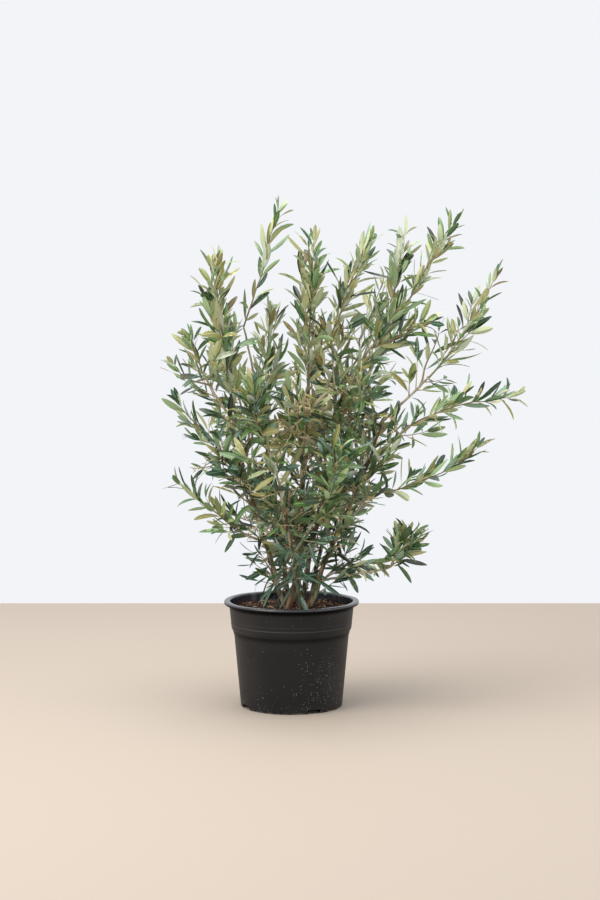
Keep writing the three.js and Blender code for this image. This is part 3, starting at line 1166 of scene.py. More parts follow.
@dataclass
class Limb:
    """A stem or bough: a smooth tapering limb with bark relief, swollen at its old leaf nodes."""

    name: str
    line: Centreline
    finish: BarkFinish
    slot: str
    sides: int
    slimming: float
    rooted: bool
    sunk: float = 0.006
    flare: float = 0.14
    flare_height: float = 0.012
    knot_spacing: float = 0.03
    knot_height: float = 0.13
    knot_width: float = 0.003
    wander: float = 0.0024
    wander_scale: float = 28.0
    roughness: float = 0.1
    furrows: Range = (1.6, 45.0)  # round the limb and along it, per metre
    ridges: Range = (4.5, 110.0)
    ridge_share: float = 0.6

    def skin_line(self) -> Centreline:
        """Give the limb's fine line, sunk into what carries it and wandering a little.

        Returns:
            The line.
        """
        start = self.line.points[0] - unit(self.line.points[1] - self.line.points[0]) * self.sunk
        points = np.concatenate([[start], self.line.points[1:]])
        line = Centreline(points, self.line.radii * self.slimming).smooth(SMOOTHING)
        phase = seeded(self.name).uniform(0.0, 50.0)
        share = line.runs / line.length
        ease = np.sin(np.pi * share) ** 0.5
        for axis in range(3):
            sway = [noise.noise(Vector((run * self.wander_scale, phase, 9.0 * axis))) for run in line.runs]
            line.points[:, axis] += np.array(sway) * self.wander * ease
        return line

    def relief(self, line: Centreline) -> Callable[[float, float], float]:
        """Make the bark's relief.

        Args:
            line: The limb's fine line.

        Returns:
            A function from angle and run to the factor on the radius.
        """
        rng = seeded(self.name + " bark")
        phase = float(rng.uniform(0.0, 100.0))
        knots = []
        run = float(rng.uniform(0.01, self.knot_spacing))
        while run < line.length:
            knots.append((run, float(rng.uniform(0.0, TURN))))
            run += self.knot_spacing * float(rng.uniform(0.7, 1.3))

        def pattern(angle: float, run: float, scales: Range) -> float:
            """Give a pattern's value at a place on the bark.

            Args:
                angle: The angle round the limb.
                run: The distance along it.
                scales: How fine the pattern is round the limb and along it.

            Returns:
                The value, about -1 to 1.
            """
            around, along = scales
            return noise.noise(
                Vector((math.cos(angle) * around, math.sin(angle) * around, run * along + phase))
            )

        def factor(angle: float, run: float) -> float:
            """Give the factor on the radius.

            Args:
                angle: The angle round the limb.
                run: The distance along it.

            Returns:
                The factor.
            """
            value = 1.0 + self.roughness * pattern(angle, run, self.furrows)
            value += self.ridge_share * self.roughness * pattern(angle, run, self.ridges)
            for place, side in knots:
                gap = (run - place) / self.knot_width
                if abs(gap) < 3.0:
                    facing = 0.45 + 0.55 * abs(math.cos(angle - side))
                    value += self.knot_height * facing * math.exp(-gap * gap)
            if self.rooted:
                lobes = 0.7 + 0.3 * math.cos(3.0 * angle + phase)
                value += self.flare * lobes * math.exp(-max(run - self.sunk, 0.0) / self.flare_height)
            return value

        return factor

    def build(self, node: str) -> bpy.types.Object:
        """Make the limb and let it stand for its solid.

        Args:
            node: The solid's name.

        Returns:
            The new object.
        """
        sink = MeshSink()
        line = self.skin_line()
        sweep(sink, line, self.sides, relief=self.relief(line))
        piece = sink.piece(self.name, [self.finish.material()])
        settle(piece, node, self.slot)
        return piece


@dataclass
class Framework:
    """The stems and boughs that carry the crown."""

    stem_finish: BarkFinish = BarkFinish(
        "stem", (54, 43, 33), (116, 94, 70), (182, 166, 138), (140, 88, 52), 0.55
    )
    bough_finish: BarkFinish = BarkFinish(
        "bough", (128, 119, 98), (166, 157, 130), (200, 194, 170), (148, 116, 80), 0.2
    )
    slices: int = 9
    stem_sides: int = 18
    bough_sides: int = 12
    stem_slimming: float = 0.8
    limbs: dict[str, Limb] = field(default_factory=dict)

    def build(self, nodes: dict[str, bpy.types.Object], foot: np.ndarray) -> None:
        """Make every limb.

        Args:
            nodes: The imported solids.
            foot: The middle of the compost.
        """
        for name in sorted(nodes):
            kind = name.split("_")[0]
            if kind not in ("stem", "bough"):
                continue
            line = Centreline.through(nodes[name], self.slices, foot)
            rooted = kind == "stem"
            finish = self.stem_finish if rooted else self.bough_finish
            sides = self.stem_sides if rooted else self.bough_sides
            slimming = self.stem_slimming if rooted else 1.0
            limb = Limb(f"limb_{name}", line, finish, f"{kind}_bark", sides, slimming, rooted)
            limb.build(name)
            self.limbs[name] = limb
            LOG.info("limb %s, %.0f mm", name, line.length * 1000.0)

    def carrier(self, point: np.ndarray) -> tuple[Limb, float]:
        """Find the limb that carries a spray.

        Args:
            point: The spray's foot.

        Returns:
            The limb and how far along it the spray starts.
        """
        best, where, least = None, 0.0, math.inf
        for limb in self.limbs.values():
            line = limb.line.smooth(SMOOTHING)
            gap, run = line.nearest(point)
            if gap < least:
                best, where, least = limb, run, gap
        return best, where


# ---------------------------------------------------------------- sprays


@dataclass(frozen=True)
class Chance:
    """How far chance goes: a pair holds the least and the most, a single value the usual stray.

    Pairs are factors unless their note gives a unit.
    """

    branch_turn: float = 0.3  # radians
    branch_angle: float = 7.0  # degrees
    branch_step: Range = (0.75, 1.3)
    branch_length: Range = (0.8, 1.0)
    leaf_turn: float = 0.22  # radians
    leaf_step: Range = (0.8, 1.25)
    leaf_length: Range = (0.66, 1.22)
    leaf_width: Range = (0.72, 1.22)
    leaf_droop: Range = (0.4, 1.4)
    leaf_fold: Range = (-0.65, 0.3)  # radians
    leaf_arch: float = 0.22  # radians, the middle that arch_spread goes to both sides of
    arch_spread: float = 0.55
    leaf_twist: float = 0.5  # radians
    stalk_length: Range = (0.02, 0.042)  # metres
    stub_length: Range = (0.005, 0.011)  # metres
    stub_stray: float = 1.2
    spur_start: Range = (0.7, 1.3)
    spur_turn: float = 0.4  # radians
    spur_angle: float = 10.0  # degrees


@dataclass
class Crowd:
    """Keeps the crown open by counting the leaves in each small cube of air."""

    cell: float = 0.034
    counts: dict[tuple[int, ...], int] = field(default_factory=dict)

    def _key(self, point: np.ndarray) -> tuple[int, ...]:
        """Give the cube that a point is in."""
        return tuple(int(v) for v in np.floor(point / self.cell))

    def full(self, point: np.ndarray, limit: int) -> bool:
        """Tell whether a point's cube already holds as many leaves as the limit."""
        return self.counts.get(self._key(point), 0) >= limit

    def take(self, point: np.ndarray) -> None:
        """Count a leaf at a point."""
        key = self._key(point)
        self.counts[key] = self.counts.get(key, 0) + 1


@dataclass
class Spray:
    """A leafy spray in the room of one solid of foliage: leader, side shoots and paired leaves."""

    name: str
    node: bpy.types.Object
    character: Character
    crowd: Crowd
    chance: Chance = Chance()
    slices: int = 9
    step: float = 0.006
    leader_radius: float = 0.0021
    shoot_radius: float = 0.0014
    tip_radius: float = 0.0006
    stalk_radius: float = 0.0007
    foot_girth: float = 0.95  # of the limb's own radius there
    bend: float = 0.3
    reach: float = 0.4
    wander: float = 0.006
    wander_scale: float = 14.0
    tip_share: float = 0.88
    shortest_step: float = 0.008
    first_branch: float = 0.05
    branch_inset: float = 0.004
    last_branch: float = 0.9
    branch_girth: float = 0.8
    branch_spare: float = 0.02
    first_leaf: float = 0.012
    closing: float = 0.3  # how much closer the last leaves are set
    flattest: float = 8.0
    light: float = 0.3  # how far leaves turn to face the sky
    young_from: float = 0.72
    stubs: tuple[float, ...] = (0.35, 0.6, 0.8)
    twin_bare: float = 0.35
    twin_reach: float = 0.55
    twin_thinning: int = 3
    hang_height: float = 0.35
    hang_depth: float = 0.11
    leaves: list[Leaf] = field(default_factory=list)
    shoots: list[tuple[Centreline, int]] = field(default_factory=list)

    def __post_init__(self) -> None:
        """Get the spray's own chance and the room that its solid gives."""
        self.rng = seeded(self.name)
        self.habit = self.character.habit
        self.room_shape = BVHTree.FromPolygons(
            [v.co for v in self.node.data.vertices], [p.vertices for p in self.node.data.polygons]
        )
        pairs = self.character.mood.value
        weights = np.array([weight for _, weight in pairs], float)
        self.tints = [tint for tint, _ in pairs]
        self.tint_weights = weights / weights.sum()

    def room(self, point: np.ndarray, direction: np.ndarray) -> float:
        """Measure how far the solid reaches from a point.

        Args:
            point: The point.
            direction: The way to look.

        Returns:
            The distance to the solid's outside, or nothing if it isn't that way.
        """
        start = Vector(point + direction * self.reach)
        hit = self.room_shape.ray_cast(start, Vector(-direction), self.reach)
        return 0.0 if hit[0] is None else self.reach - hit[3]

    def gap(self, point: np.ndarray) -> float:
        """Measure how far outside the solid a point lies, below zero inside it.

        Args:
            point: The point.

        Returns:
            The distance.
        """
        distance = self.room_shape.find_nearest(Vector(point))[3]
        _, normal, _, _ = self.room_shape.ray_cast(Vector(point), Vector(UP))
        return -distance if normal is not None and normal.z > 0.0 else distance

    def grow(self, framework: Framework, foot: np.ndarray) -> None:
        """Grow the leader from the limb that carries it, with everything on it.

        Args:
            framework: The limbs.
            foot: The middle of the compost.
        """
        axis = Centreline.through(self.node, self.slices, foot)
        limb, run = framework.carrier(axis.points[0])
        line = limb.line.smooth(SMOOTHING)
        start = line.at(run)
        width = min(line.radius(run) * self.foot_girth, self.leader_radius)
        tip_reach = self.tip_share * (1.0 - self.habit.youth) * self.habit.leaf
        length = axis.length
        keep = axis.runs < length - tip_reach
        inner = axis.points[keep][1:]
        end = axis.at(length - tip_reach)
        points = np.concatenate([[start], inner, [end]])
        gaps = np.linalg.norm(np.diff(points, axis=0), axis=1) > self.shortest_step
        points = points[np.concatenate([[True], gaps])]
        leader = Centreline(points, np.linspace(width, self.tip_radius, len(points))).smooth(self.step)
        self._sway(leader)
        leader.points[:, 0] += self.habit.sideways * (leader.runs / leader.length) ** 2
        self._extend(leader, 0)
        if self.character.twin > 0.0:
            self._twin(limb, axis)

    def sprout(self, line: Centreline, run: float, heading: np.ndarray, length: float) -> None:
        """Grow a short leafy shoot straight from a limb.

        Args:
            line: The limb's line.
            run: How far along it.
            heading: The way that the shoot starts.
            length: The shoot's length.
        """
        width = min(0.6 * line.radius(run), self.shoot_radius)
        shoot = self._curve(line.at(run), heading, unit(heading + UP * self.habit.lift), length, width)
        self.shoots.append((shoot, 1))
        self._dress(shoot, 1)

    def _twin(self, limb: Limb, axis: Centreline) -> None:
        """Grow a second, bare-footed shoot beside the bough into the spray.

        Args:
            limb: The bough.
            axis: The line through the spray's solid.
        """
        bough = limb.line.smooth(self.step)
        share = bough.runs / bough.length
        lift = self.character.twin * np.sin(0.5 * np.pi * share) ** 0.5
        end = axis.at(self.twin_reach * axis.length)
        points = np.concatenate([bough.points + lift[:, None] * UP, [end]])[:: self.twin_thinning]
        radii = np.linspace(self.shoot_radius, self.tip_radius, len(points))
        line = Centreline(points, radii).smooth(self.step)
        self._sway(line)
        self.shoots.append((line, 1))
        self._dress(line, 1, self.twin_bare * bough.length)

    def _sway(self, line: Centreline) -> None:
        """Let a shoot wander a little between its ends.

        Args:
            line: The shoot's line, which it moves.
        """
        phase = float(self.rng.uniform(0.0, 90.0))
        ease = np.sin(np.pi * line.runs / line.length)
        for axis in range(3):
            sway = [noise.noise(Vector((run * self.wander_scale, phase, 7.0 * axis))) for run in line.runs]
            line.points[:, axis] += np.array(sway) * self.wander * ease

    def _curve(
        self, start: np.ndarray, heading: np.ndarray, bend: np.ndarray, length: float, width: float
    ) -> Centreline:
        """Draw a shoot that starts one way and bends towards another.

        Args:
            start: Where it starts.
            heading: The way that it starts.
            bend: The way that it ends.
            length: Its length.
            width: Its radius at its foot.

        Returns:
            Its line.
        """
        share = np.linspace(0.0, 1.0, max(4, round(length / self.step)))[:, None]
        points = start + length * (share * heading + self.bend * share**2 * (bend - heading))
        return Centreline(points, np.linspace(width, self.tip_radius, len(points)))

    def _extend(self, line: Centreline, order: int) -> None:
        """Keep a shoot, dress it in leaves and let it branch.

        Args:
            line: The shoot's line.
            order: 0 for the leader, 1 for its side shoots and so on.
        """
        self.shoots.append((line, order))
        self._dress(line, order)
        if order < self.habit.orders:
            self._branch(line, order)

    def _branch(self, line: Centreline, order: int) -> None:
        """Grow opposite side shoots, a quarter turn on at each pair, where the solid leaves room.

        Args:
            line: The shoot's line.
            order: The shoot's order.
        """
        habit, rng, chance, whorl = self.habit, self.rng, self.chance, line.whorl()
        turn = rng.uniform(0.0, TURN)
        run = line.length * max(habit.bare, self.first_branch) + self.branch_inset
        while run < line.length * self.last_branch:
            for half in range(2):
                if rng.random() < habit.side_chance:
                    angle = turn + half * math.pi + rng.normal(0.0, chance.branch_turn)
                    self._side_shoot(line, run, unit(whorl.out(run, angle) + habit.upward * UP), order)
            run += habit.side_step * rng.uniform(*chance.branch_step)
            turn += QUARTER

    def _side_shoot(self, line: Centreline, run: float, radial: np.ndarray, order: int) -> None:
        """Grow one side shoot, if it has room and the air there isn't crowded.

        Args:
            line: The shoot that it leaves.
            run: How far along that shoot.
            radial: The way out from that shoot.
            order: The order of the shoot that it leaves.
        """
        habit, rng, chance = self.habit, self.rng, self.chance
        point, axis = line.at(run), line.along(run)
        angle = math.radians(habit.side_angle + rng.normal(0.0, chance.branch_angle))
        heading = unit(math.cos(angle) * axis + math.sin(angle) * radial)
        room = self.room(point, heading) - habit.clearance
        reach = habit.taper * (line.length - run) + self.branch_spare
        length = min(room, habit.side_longest, reach) * rng.uniform(*chance.branch_length)
        if length < habit.side_shortest or self.crowd.full(point + heading * length, habit.crowding):
            return
        width = min(self.branch_girth * line.radius(run), self.shoot_radius)
        shoot = self._curve(point, heading, unit(axis + UP * habit.lift), length, width)
        self._extend(shoot, order + 1)

    def _dress(self, line: Centreline, order: int, bare: float = 0.0) -> None:
        """Deal opposite leaves along a shoot, a quarter turn on at each pair.

        Args:
            line: The shoot's line.
            order: The shoot's order.
            bare: The length at the foot that has no leaves.
        """
        habit, rng, chance, whorl = self.habit, self.rng, self.chance, line.whorl()
        length = line.length
        turn = rng.uniform(0.0, TURN)
        run = max(length * (habit.naked if order else habit.bare), self.first_leaf, bare)
        while run < length:
            for half in range(2):
                if rng.random() < habit.kept:
                    angle = turn + half * math.pi + rng.normal(0.0, chance.leaf_turn)
                    self._leaf(line, run, whorl.out(run, angle), run / length)
                if order and rng.random() < habit.stalks:
                    self._stalk(line, run, unit(rng.normal(size=3)))
            run += habit.internode * (1.0 - self.closing * run / length) * rng.uniform(*chance.leaf_step)
            turn += QUARTER
        for half in range(2):
            self._leaf(line, length, whorl.out(length, turn + half * math.pi), 1.0)

    def _stalk(self, line: Centreline, run: float, radial: np.ndarray) -> None:
        """Leave a dry, branching flower stalk in the crook of a leaf.

        Args:
            line: The shoot's line.
            run: How far along it.
            radial: The way out from the shoot.
        """
        rng, chance, dry = self.rng, self.chance, list(TwigAge).index(TwigAge.DRY)
        heading = unit(line.along(run) + radial)
        length = rng.uniform(*chance.stalk_length)
        stalk = self._curve(line.at(run), heading, radial, length, self.stalk_radius)
        self.shoots.append((stalk, dry))
        for place in self.stubs:
            side = unit(heading + chance.stub_stray * rng.normal(size=3))
            start = stalk.at(place * stalk.length)
            stub = self._curve(start, side, side, rng.uniform(*chance.stub_length), self.stalk_radius)
            self.shoots.append((stub, dry))

    def _leaf(self, line: Centreline, run: float, radial: np.ndarray, share: float) -> None:
        """Put one leaf on a shoot, unless the air there is crowded.

        Args:
            line: The shoot's line.
            run: How far along it the leaf sits.
            radial: The way out from the shoot.
            share: How far along the shoot, 0 to 1, which makes leaves younger and closer set.
        """
        habit, rng, chance = self.habit, self.rng, self.chance
        axis, base = line.along(run), line.at(run)
        hang = max(self.hang_height - base[2], 0.0) / self.hang_depth
        spread = habit.spread_foot + (habit.spread_tip - habit.spread_foot) * share
        angle = math.radians(max(spread + rng.normal(0.0, habit.untidy), self.flattest))
        direction = math.cos(angle) * axis + math.sin(angle) * radial
        droop = (habit.droop + hang) * (1.0 - 0.5 * share) * rng.uniform(*chance.leaf_droop)
        direction = unit(direction - UP * droop)
        facing = math.sin(angle) * axis - math.cos(angle) * radial + self.light * UP
        facing = unit(facing - direction * (facing @ direction))
        roll = rng.normal(0.0, habit.roll)
        facing = math.cos(roll) * facing + math.sin(roll) * np.cross(direction, facing)
        young = 1.0 - habit.youth * max(share - self.young_from, 0.0) / (1.0 - self.young_from)
        length = habit.leaf * rng.uniform(*chance.leaf_length) * young
        middle = base + direction * 0.55 * length
        if self.crowd.full(middle, habit.crowding):
            return
        self.crowd.take(middle)
        self.leaves.append(
            Leaf(
                base=base + radial * line.radius(run) * 0.5,
                direction=direction,
                facing=facing,
                length=length,
                width=length * habit.slenderness * rng.uniform(*chance.leaf_width),
                fold=rng.uniform(*chance.leaf_fold),
                arch=rng.normal(chance.leaf_arch, chance.arch_spread),
                twist=rng.normal(0.0, chance.leaf_twist),
                tint=self.tints[rng.choice(len(self.tints), p=self.tint_weights)],
            )
        )

    def build(self, blade: LeafBlade) -> int:
        """Make the spray's pieces and let them stand for its solid.

        Args:
            blade: The shape of a leaf.

        Returns:
            How many leaves it has.
        """
        twigs = MeshSink()
        ages = list(TwigAge)
        for line, order in self.shoots:
            sweep(twigs, line, 6 if order == 0 else 5, order)
        twig_piece = twigs.piece(f"twigs_{self.name}", [age.value.material() for age in ages])
        leaf_piece = blade.piece(f"leaves_{self.name}", self.leaves)
        for piece, slot in ((twig_piece, "twigs"), (leaf_piece, "leaves")):
            settle(piece, self.node.name, slot)
        return len(self.leaves)


@dataclass
class Crown:
    """All the leafy sprays, and the short shoots along the limbs between them."""

    blade: LeafBlade = LeafBlade()
    chance: Chance = Chance()
    prefix: str = "foliage_"
    bare_limbs: tuple[str, ...] = ("bough_low_right", "bough_tall_wand")
    sparse_limbs: tuple[str, ...] = (
        "bough_right_arm",
        "bough_far_right",
        "bough_left_low",
        "bough_right_low",
        "stem_back",
        "bough_front_left",
        "bough_front_right",
        "bough_back_left",
        "bough_back_right",
    )
    sparse_chance: float = 0.55
    sparse_margin: float = 0.08
    step: float = 0.006
    spur_step: float = 0.017
    spur_start: float = 0.04
    spur_chance: float = 0.75
    spur_chance_low: float = 0.35
    low: float = 0.28
    spur_lengths: Range = (0.02, 0.07)
    spur_angle: float = 48.0
    spur_margin: float = 0.028

    def build(self, nodes: dict[str, bpy.types.Object], framework: Framework, foot: np.ndarray) -> None:
        """Grow and make every spray, the slender ones first.

        Args:
            nodes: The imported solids.
            framework: The limbs.
            foot: The middle of the compost.
        """
        crowd = Crowd()
        names = sorted(name.removeprefix(self.prefix) for name in nodes if name.startswith(self.prefix))
        names.sort(key=lambda name: CHARACTERS[name].habit.orders)
        sprays = [Spray(name, nodes[self.prefix + name], CHARACTERS[name], crowd) for name in names]
        for spray in sprays:
            spray.grow(framework, foot)
        for name, limb in framework.limbs.items():
            if name not in self.bare_limbs:
                self._spurs(name, limb, sprays)
        total = 0
        for spray in sprays:
            count = spray.build(self.blade)
            total += count
            LOG.info("spray %s: %d shoots, %d leaves", spray.name, len(spray.shoots), count)
        LOG.info("crown: %d leaves", total)

    def _share(self, name: str, height: float) -> float:
        """Give the chance of a short shoot on a limb at a height."""
        if name in self.sparse_limbs:
            return self.sparse_chance
        return self.spur_chance_low if height < self.low else self.spur_chance

    def _spurs(self, name: str, limb: Limb, sprays: Sequence[Spray]) -> None:
        """Grow short shoots along a limb, each counted with the spray that it is nearest to.

        Args:
            name: The limb's name.
            limb: The limb.
            sprays: All the sprays.
        """
        rng, chance = seeded(name + " spurs"), self.chance
        margin = self.sparse_margin if name in self.sparse_limbs else self.spur_margin
        line = limb.line.smooth(self.step)
        whorl = line.whorl()
        turn = rng.uniform(0.0, TURN)
        run = self.spur_start * rng.uniform(*chance.spur_start)
        while run < line.length:
            for half in range(2):
                if rng.random() > self._share(name, line.at(run)[2]):
                    continue
                radial = whorl.out(run, turn + half * math.pi + rng.normal(0.0, chance.spur_turn))
                angle = math.radians(self.spur_angle + rng.normal(0.0, chance.spur_angle))
                heading = unit(math.cos(angle) * line.along(run) + math.sin(angle) * radial)
                length = rng.uniform(*self.spur_lengths)
                tip = line.at(run) + heading * length
                gap, _, owner = min((spray.gap(tip), i, spray) for i, spray in enumerate(sprays))
                if gap < margin:
                    owner.sprout(line, run, heading, length)
            run += self.spur_step * rng.uniform(*chance.branch_step)
            turn += QUARTER


# ---------------------------------------------------------------- pot and compost


@dataclass
class Pot:
    """The round nursery pot: a stepped wall, a thin rib, a rolled lip and four notches at its foot."""

    height: float
    lip_radius: float
    finish: PlasticFinish = PlasticFinish()
    segments: int = 144
    wall: float = 0.0022
    floor: float = 0.003
    foot_radius: float = 0.097
    waist_radius: float = 0.1106
    waist_height: float = 0.1465
    shoulder_radius: float = 0.1148
    shoulder_height: float = 0.1505
    rib_radius: float = 0.1162
    rib_height: float = 0.1585
    rib_half: float = 0.0011
    collar_radius: float = 0.1195
    lip_depth: float = 0.0066
    lip_round: float = 0.0022
    notch_count: int = 4
    notch_first: float = math.radians(26.0)
    notch_width: float = 0.029
    notch_height: float = 0.008
    notch_reach: float = 0.016
    unevenness: float = 0.0007

    def outside(self, height: float) -> float:
        """Give the wall's outside radius at a height, without the rib and lip.

        Args:
            height: The height.

        Returns:
            The radius.
        """
        if height < self.waist_height:
            return self.foot_radius + (self.waist_radius - self.foot_radius) * height / self.waist_height
        top = self.height - self.lip_depth
        share = (height - self.shoulder_height) / (top - self.shoulder_height)
        return self.shoulder_radius + (self.collar_radius - self.shoulder_radius) * max(share, 0.0)

    def profile(self) -> list[tuple[float, float]]:
        """Give the pot's closed section.

        Returns:
            Radius and height pairs, from the middle of the underside out, up, over the lip and down inside.
        """
        top = self.height
        under_lip = top - self.lip_depth
        foot = self.foot_radius
        points = [(0.0, 0.0), (0.05, 0.0), (foot - 0.0015, 0.0), (foot - 0.0004, 0.0005)]
        points += [(self.outside(z), z) for z in np.linspace(0.002, self.waist_height - 0.001, 16)]
        points += [(self.waist_radius, self.waist_height)]
        points += [(self.shoulder_radius - 0.0006, self.shoulder_height - 0.0012)]
        points += [(self.shoulder_radius, self.shoulder_height)]
        low, high = self.rib_height - self.rib_half, self.rib_height + self.rib_half
        points += [(self.outside(z), z) for z in np.linspace(self.shoulder_height + 0.002, low - 0.0005, 4)]
        points += [(self.rib_radius - 0.0003, low + 0.0004), (self.rib_radius, self.rib_height)]
        points += [(self.rib_radius - 0.0003, high - 0.0004)]
        points += [(self.outside(z), z) for z in np.linspace(high + 0.0005, under_lip - 0.001, 8)]
        points += [(self.collar_radius + 0.0012, under_lip - 0.0002)]
        reach = self.lip_radius - self.collar_radius
        points += [(self.collar_radius + reach * s, under_lip - 0.0004 * s) for s in (0.35, 0.7)]
        middle = top - 0.5 * self.lip_depth
        for step in range(9):
            turn = math.radians(-90.0 + 22.5 * step)
            out = self.lip_round * math.cos(turn)
            rise = 0.5 * self.lip_depth * math.sin(turn)
            points.append((self.lip_radius - self.lip_round + out, middle + rise))
        inner_top = self.collar_radius - self.wall
        points += [(self.collar_radius + reach * s, top + 0.0003 * s) for s in (0.4, 0.1)]
        points += [(inner_top + 0.0010, top - 0.0004), (inner_top + 0.0002, top - 0.0016)]
        heights = [
            *np.linspace(top - 0.004, self.shoulder_height, 6),
            *np.linspace(self.waist_height, self.floor + 0.001, 8),
        ]
        points += [(self.outside(z) - self.wall, z) for z in heights]
        points += [(foot - self.wall - 0.001, self.floor), (0.05, self.floor), (0.0, self.floor)]
        return points

    def build(self) -> bpy.types.Object:
        """Make the pot and let it stand for its solid.

        Returns:
            The new object.
        """
        piece = self._turned()
        self._cut_notches(piece)
        piece.data.set_sharp_from_angle(angle=math.radians(38.0))
        settle(piece, "pot", "pot_plastic")
        LOG.info("pot, %.0f mm tall and %.0f mm across", self.height * 1000.0, self.lip_radius * 2000.0)
        return piece

    def _uneven(self, angle: float, height: float) -> tuple[float, float]:
        """Give how far the soft wall strays outwards and upwards.

        Args:
            angle: The angle round the pot's axis.
            height: The height.

        Returns:
            The distances outwards and upwards.
        """
        soft = (height / self.height) ** 2
        around = Vector((math.cos(angle) * 1.3, math.sin(angle) * 1.3, 3.0))
        finer = Vector((math.cos(angle) * 4.0, math.sin(angle) * 4.0, 8.0))
        out = noise.noise(around) * 2.0 + noise.noise(finer) * 0.7
        rise = noise.noise(around * 1.4) * 2.0
        high = max(height - 0.93 * self.height, 0.0) / (0.07 * self.height)
        return out * self.unevenness * soft, rise * self.unevenness * high

    def _turned(self) -> bpy.types.Object:
        """Turn the section round the pot's axis.

        Returns:
            The wall, in the scene.
        """
        section = self.profile()
        rows = section[1:-1]
        corners = [(0.0, 0.0, section[0][1])]
        for i in range(self.segments):
            angle = TURN * i / self.segments
            for radius, height in rows:
                out, rise = self._uneven(angle, height)
                reach = radius + out
                corners.append((reach * math.cos(angle), reach * math.sin(angle), height + rise))
        corners.append((0.0, 0.0, section[-1][1]))
        count, last = len(rows), len(corners) - 1
        faces: list[tuple[int, ...]] = []
        for i in range(self.segments):
            here, there = 1 + i * count, 1 + ((i + 1) % self.segments) * count
            faces.append((0, there, here))
            faces += [(here + k, there + k, there + k + 1, here + k + 1) for k in range(count - 1)]
            faces.append((last, here + count - 1, there + count - 1))
        sink = MeshSink()
        sink.add(np.array(corners), faces)
        return sink.piece("pot_wall", [self.finish.material(self)])

    def _cut_notches(self, piece: bpy.types.Object) -> None:
        """Cut the drain notches into the pot's foot.

        Args:
            piece: The wall.
        """
        for i in range(self.notch_count):
            angle = self.notch_first - QUARTER + TURN * i / self.notch_count
            ahead = np.array([math.cos(angle), math.sin(angle), 0.0])
            aside = np.array([-math.sin(angle), math.cos(angle), 0.0])
            arch = []
            half = 0.5 * self.notch_width
            outline = [(-half, -0.005), (half, -0.005), (half, 0.72 * self.notch_height)]
            outline += [(0.8 * half, self.notch_height), (-0.8 * half, self.notch_height)]
            outline += [(-half, 0.72 * self.notch_height)]
            for reach in (self.foot_radius - self.notch_reach, self.foot_radius + 0.01):
                arch += [ahead * reach + aside * side + UP * height for side, height in outline]
            size = len(outline)
            faces: list[tuple[int, ...]] = [tuple(reversed(range(size))), tuple(range(size, 2 * size))]
            faces += [(k, (k + 1) % size, size + (k + 1) % size, size + k) for k in range(size)]
            sink = MeshSink()
            sink.add(np.array(arch), faces)
            cutter = sink.piece("notch_cutter", [])
            modifier = piece.modifiers.new("notch", "BOOLEAN")
            modifier.operation = "DIFFERENCE"
            modifier.object = cutter
            modifier.solver = "EXACT"
            bpy.context.view_layer.update()
            graph = bpy.context.evaluated_depsgraph_get()
            cut = bpy.data.meshes.new_from_object(piece.evaluated_get(graph))
            piece.modifiers.clear()
            piece.data = cut
            bpy.data.objects.remove(cutter)


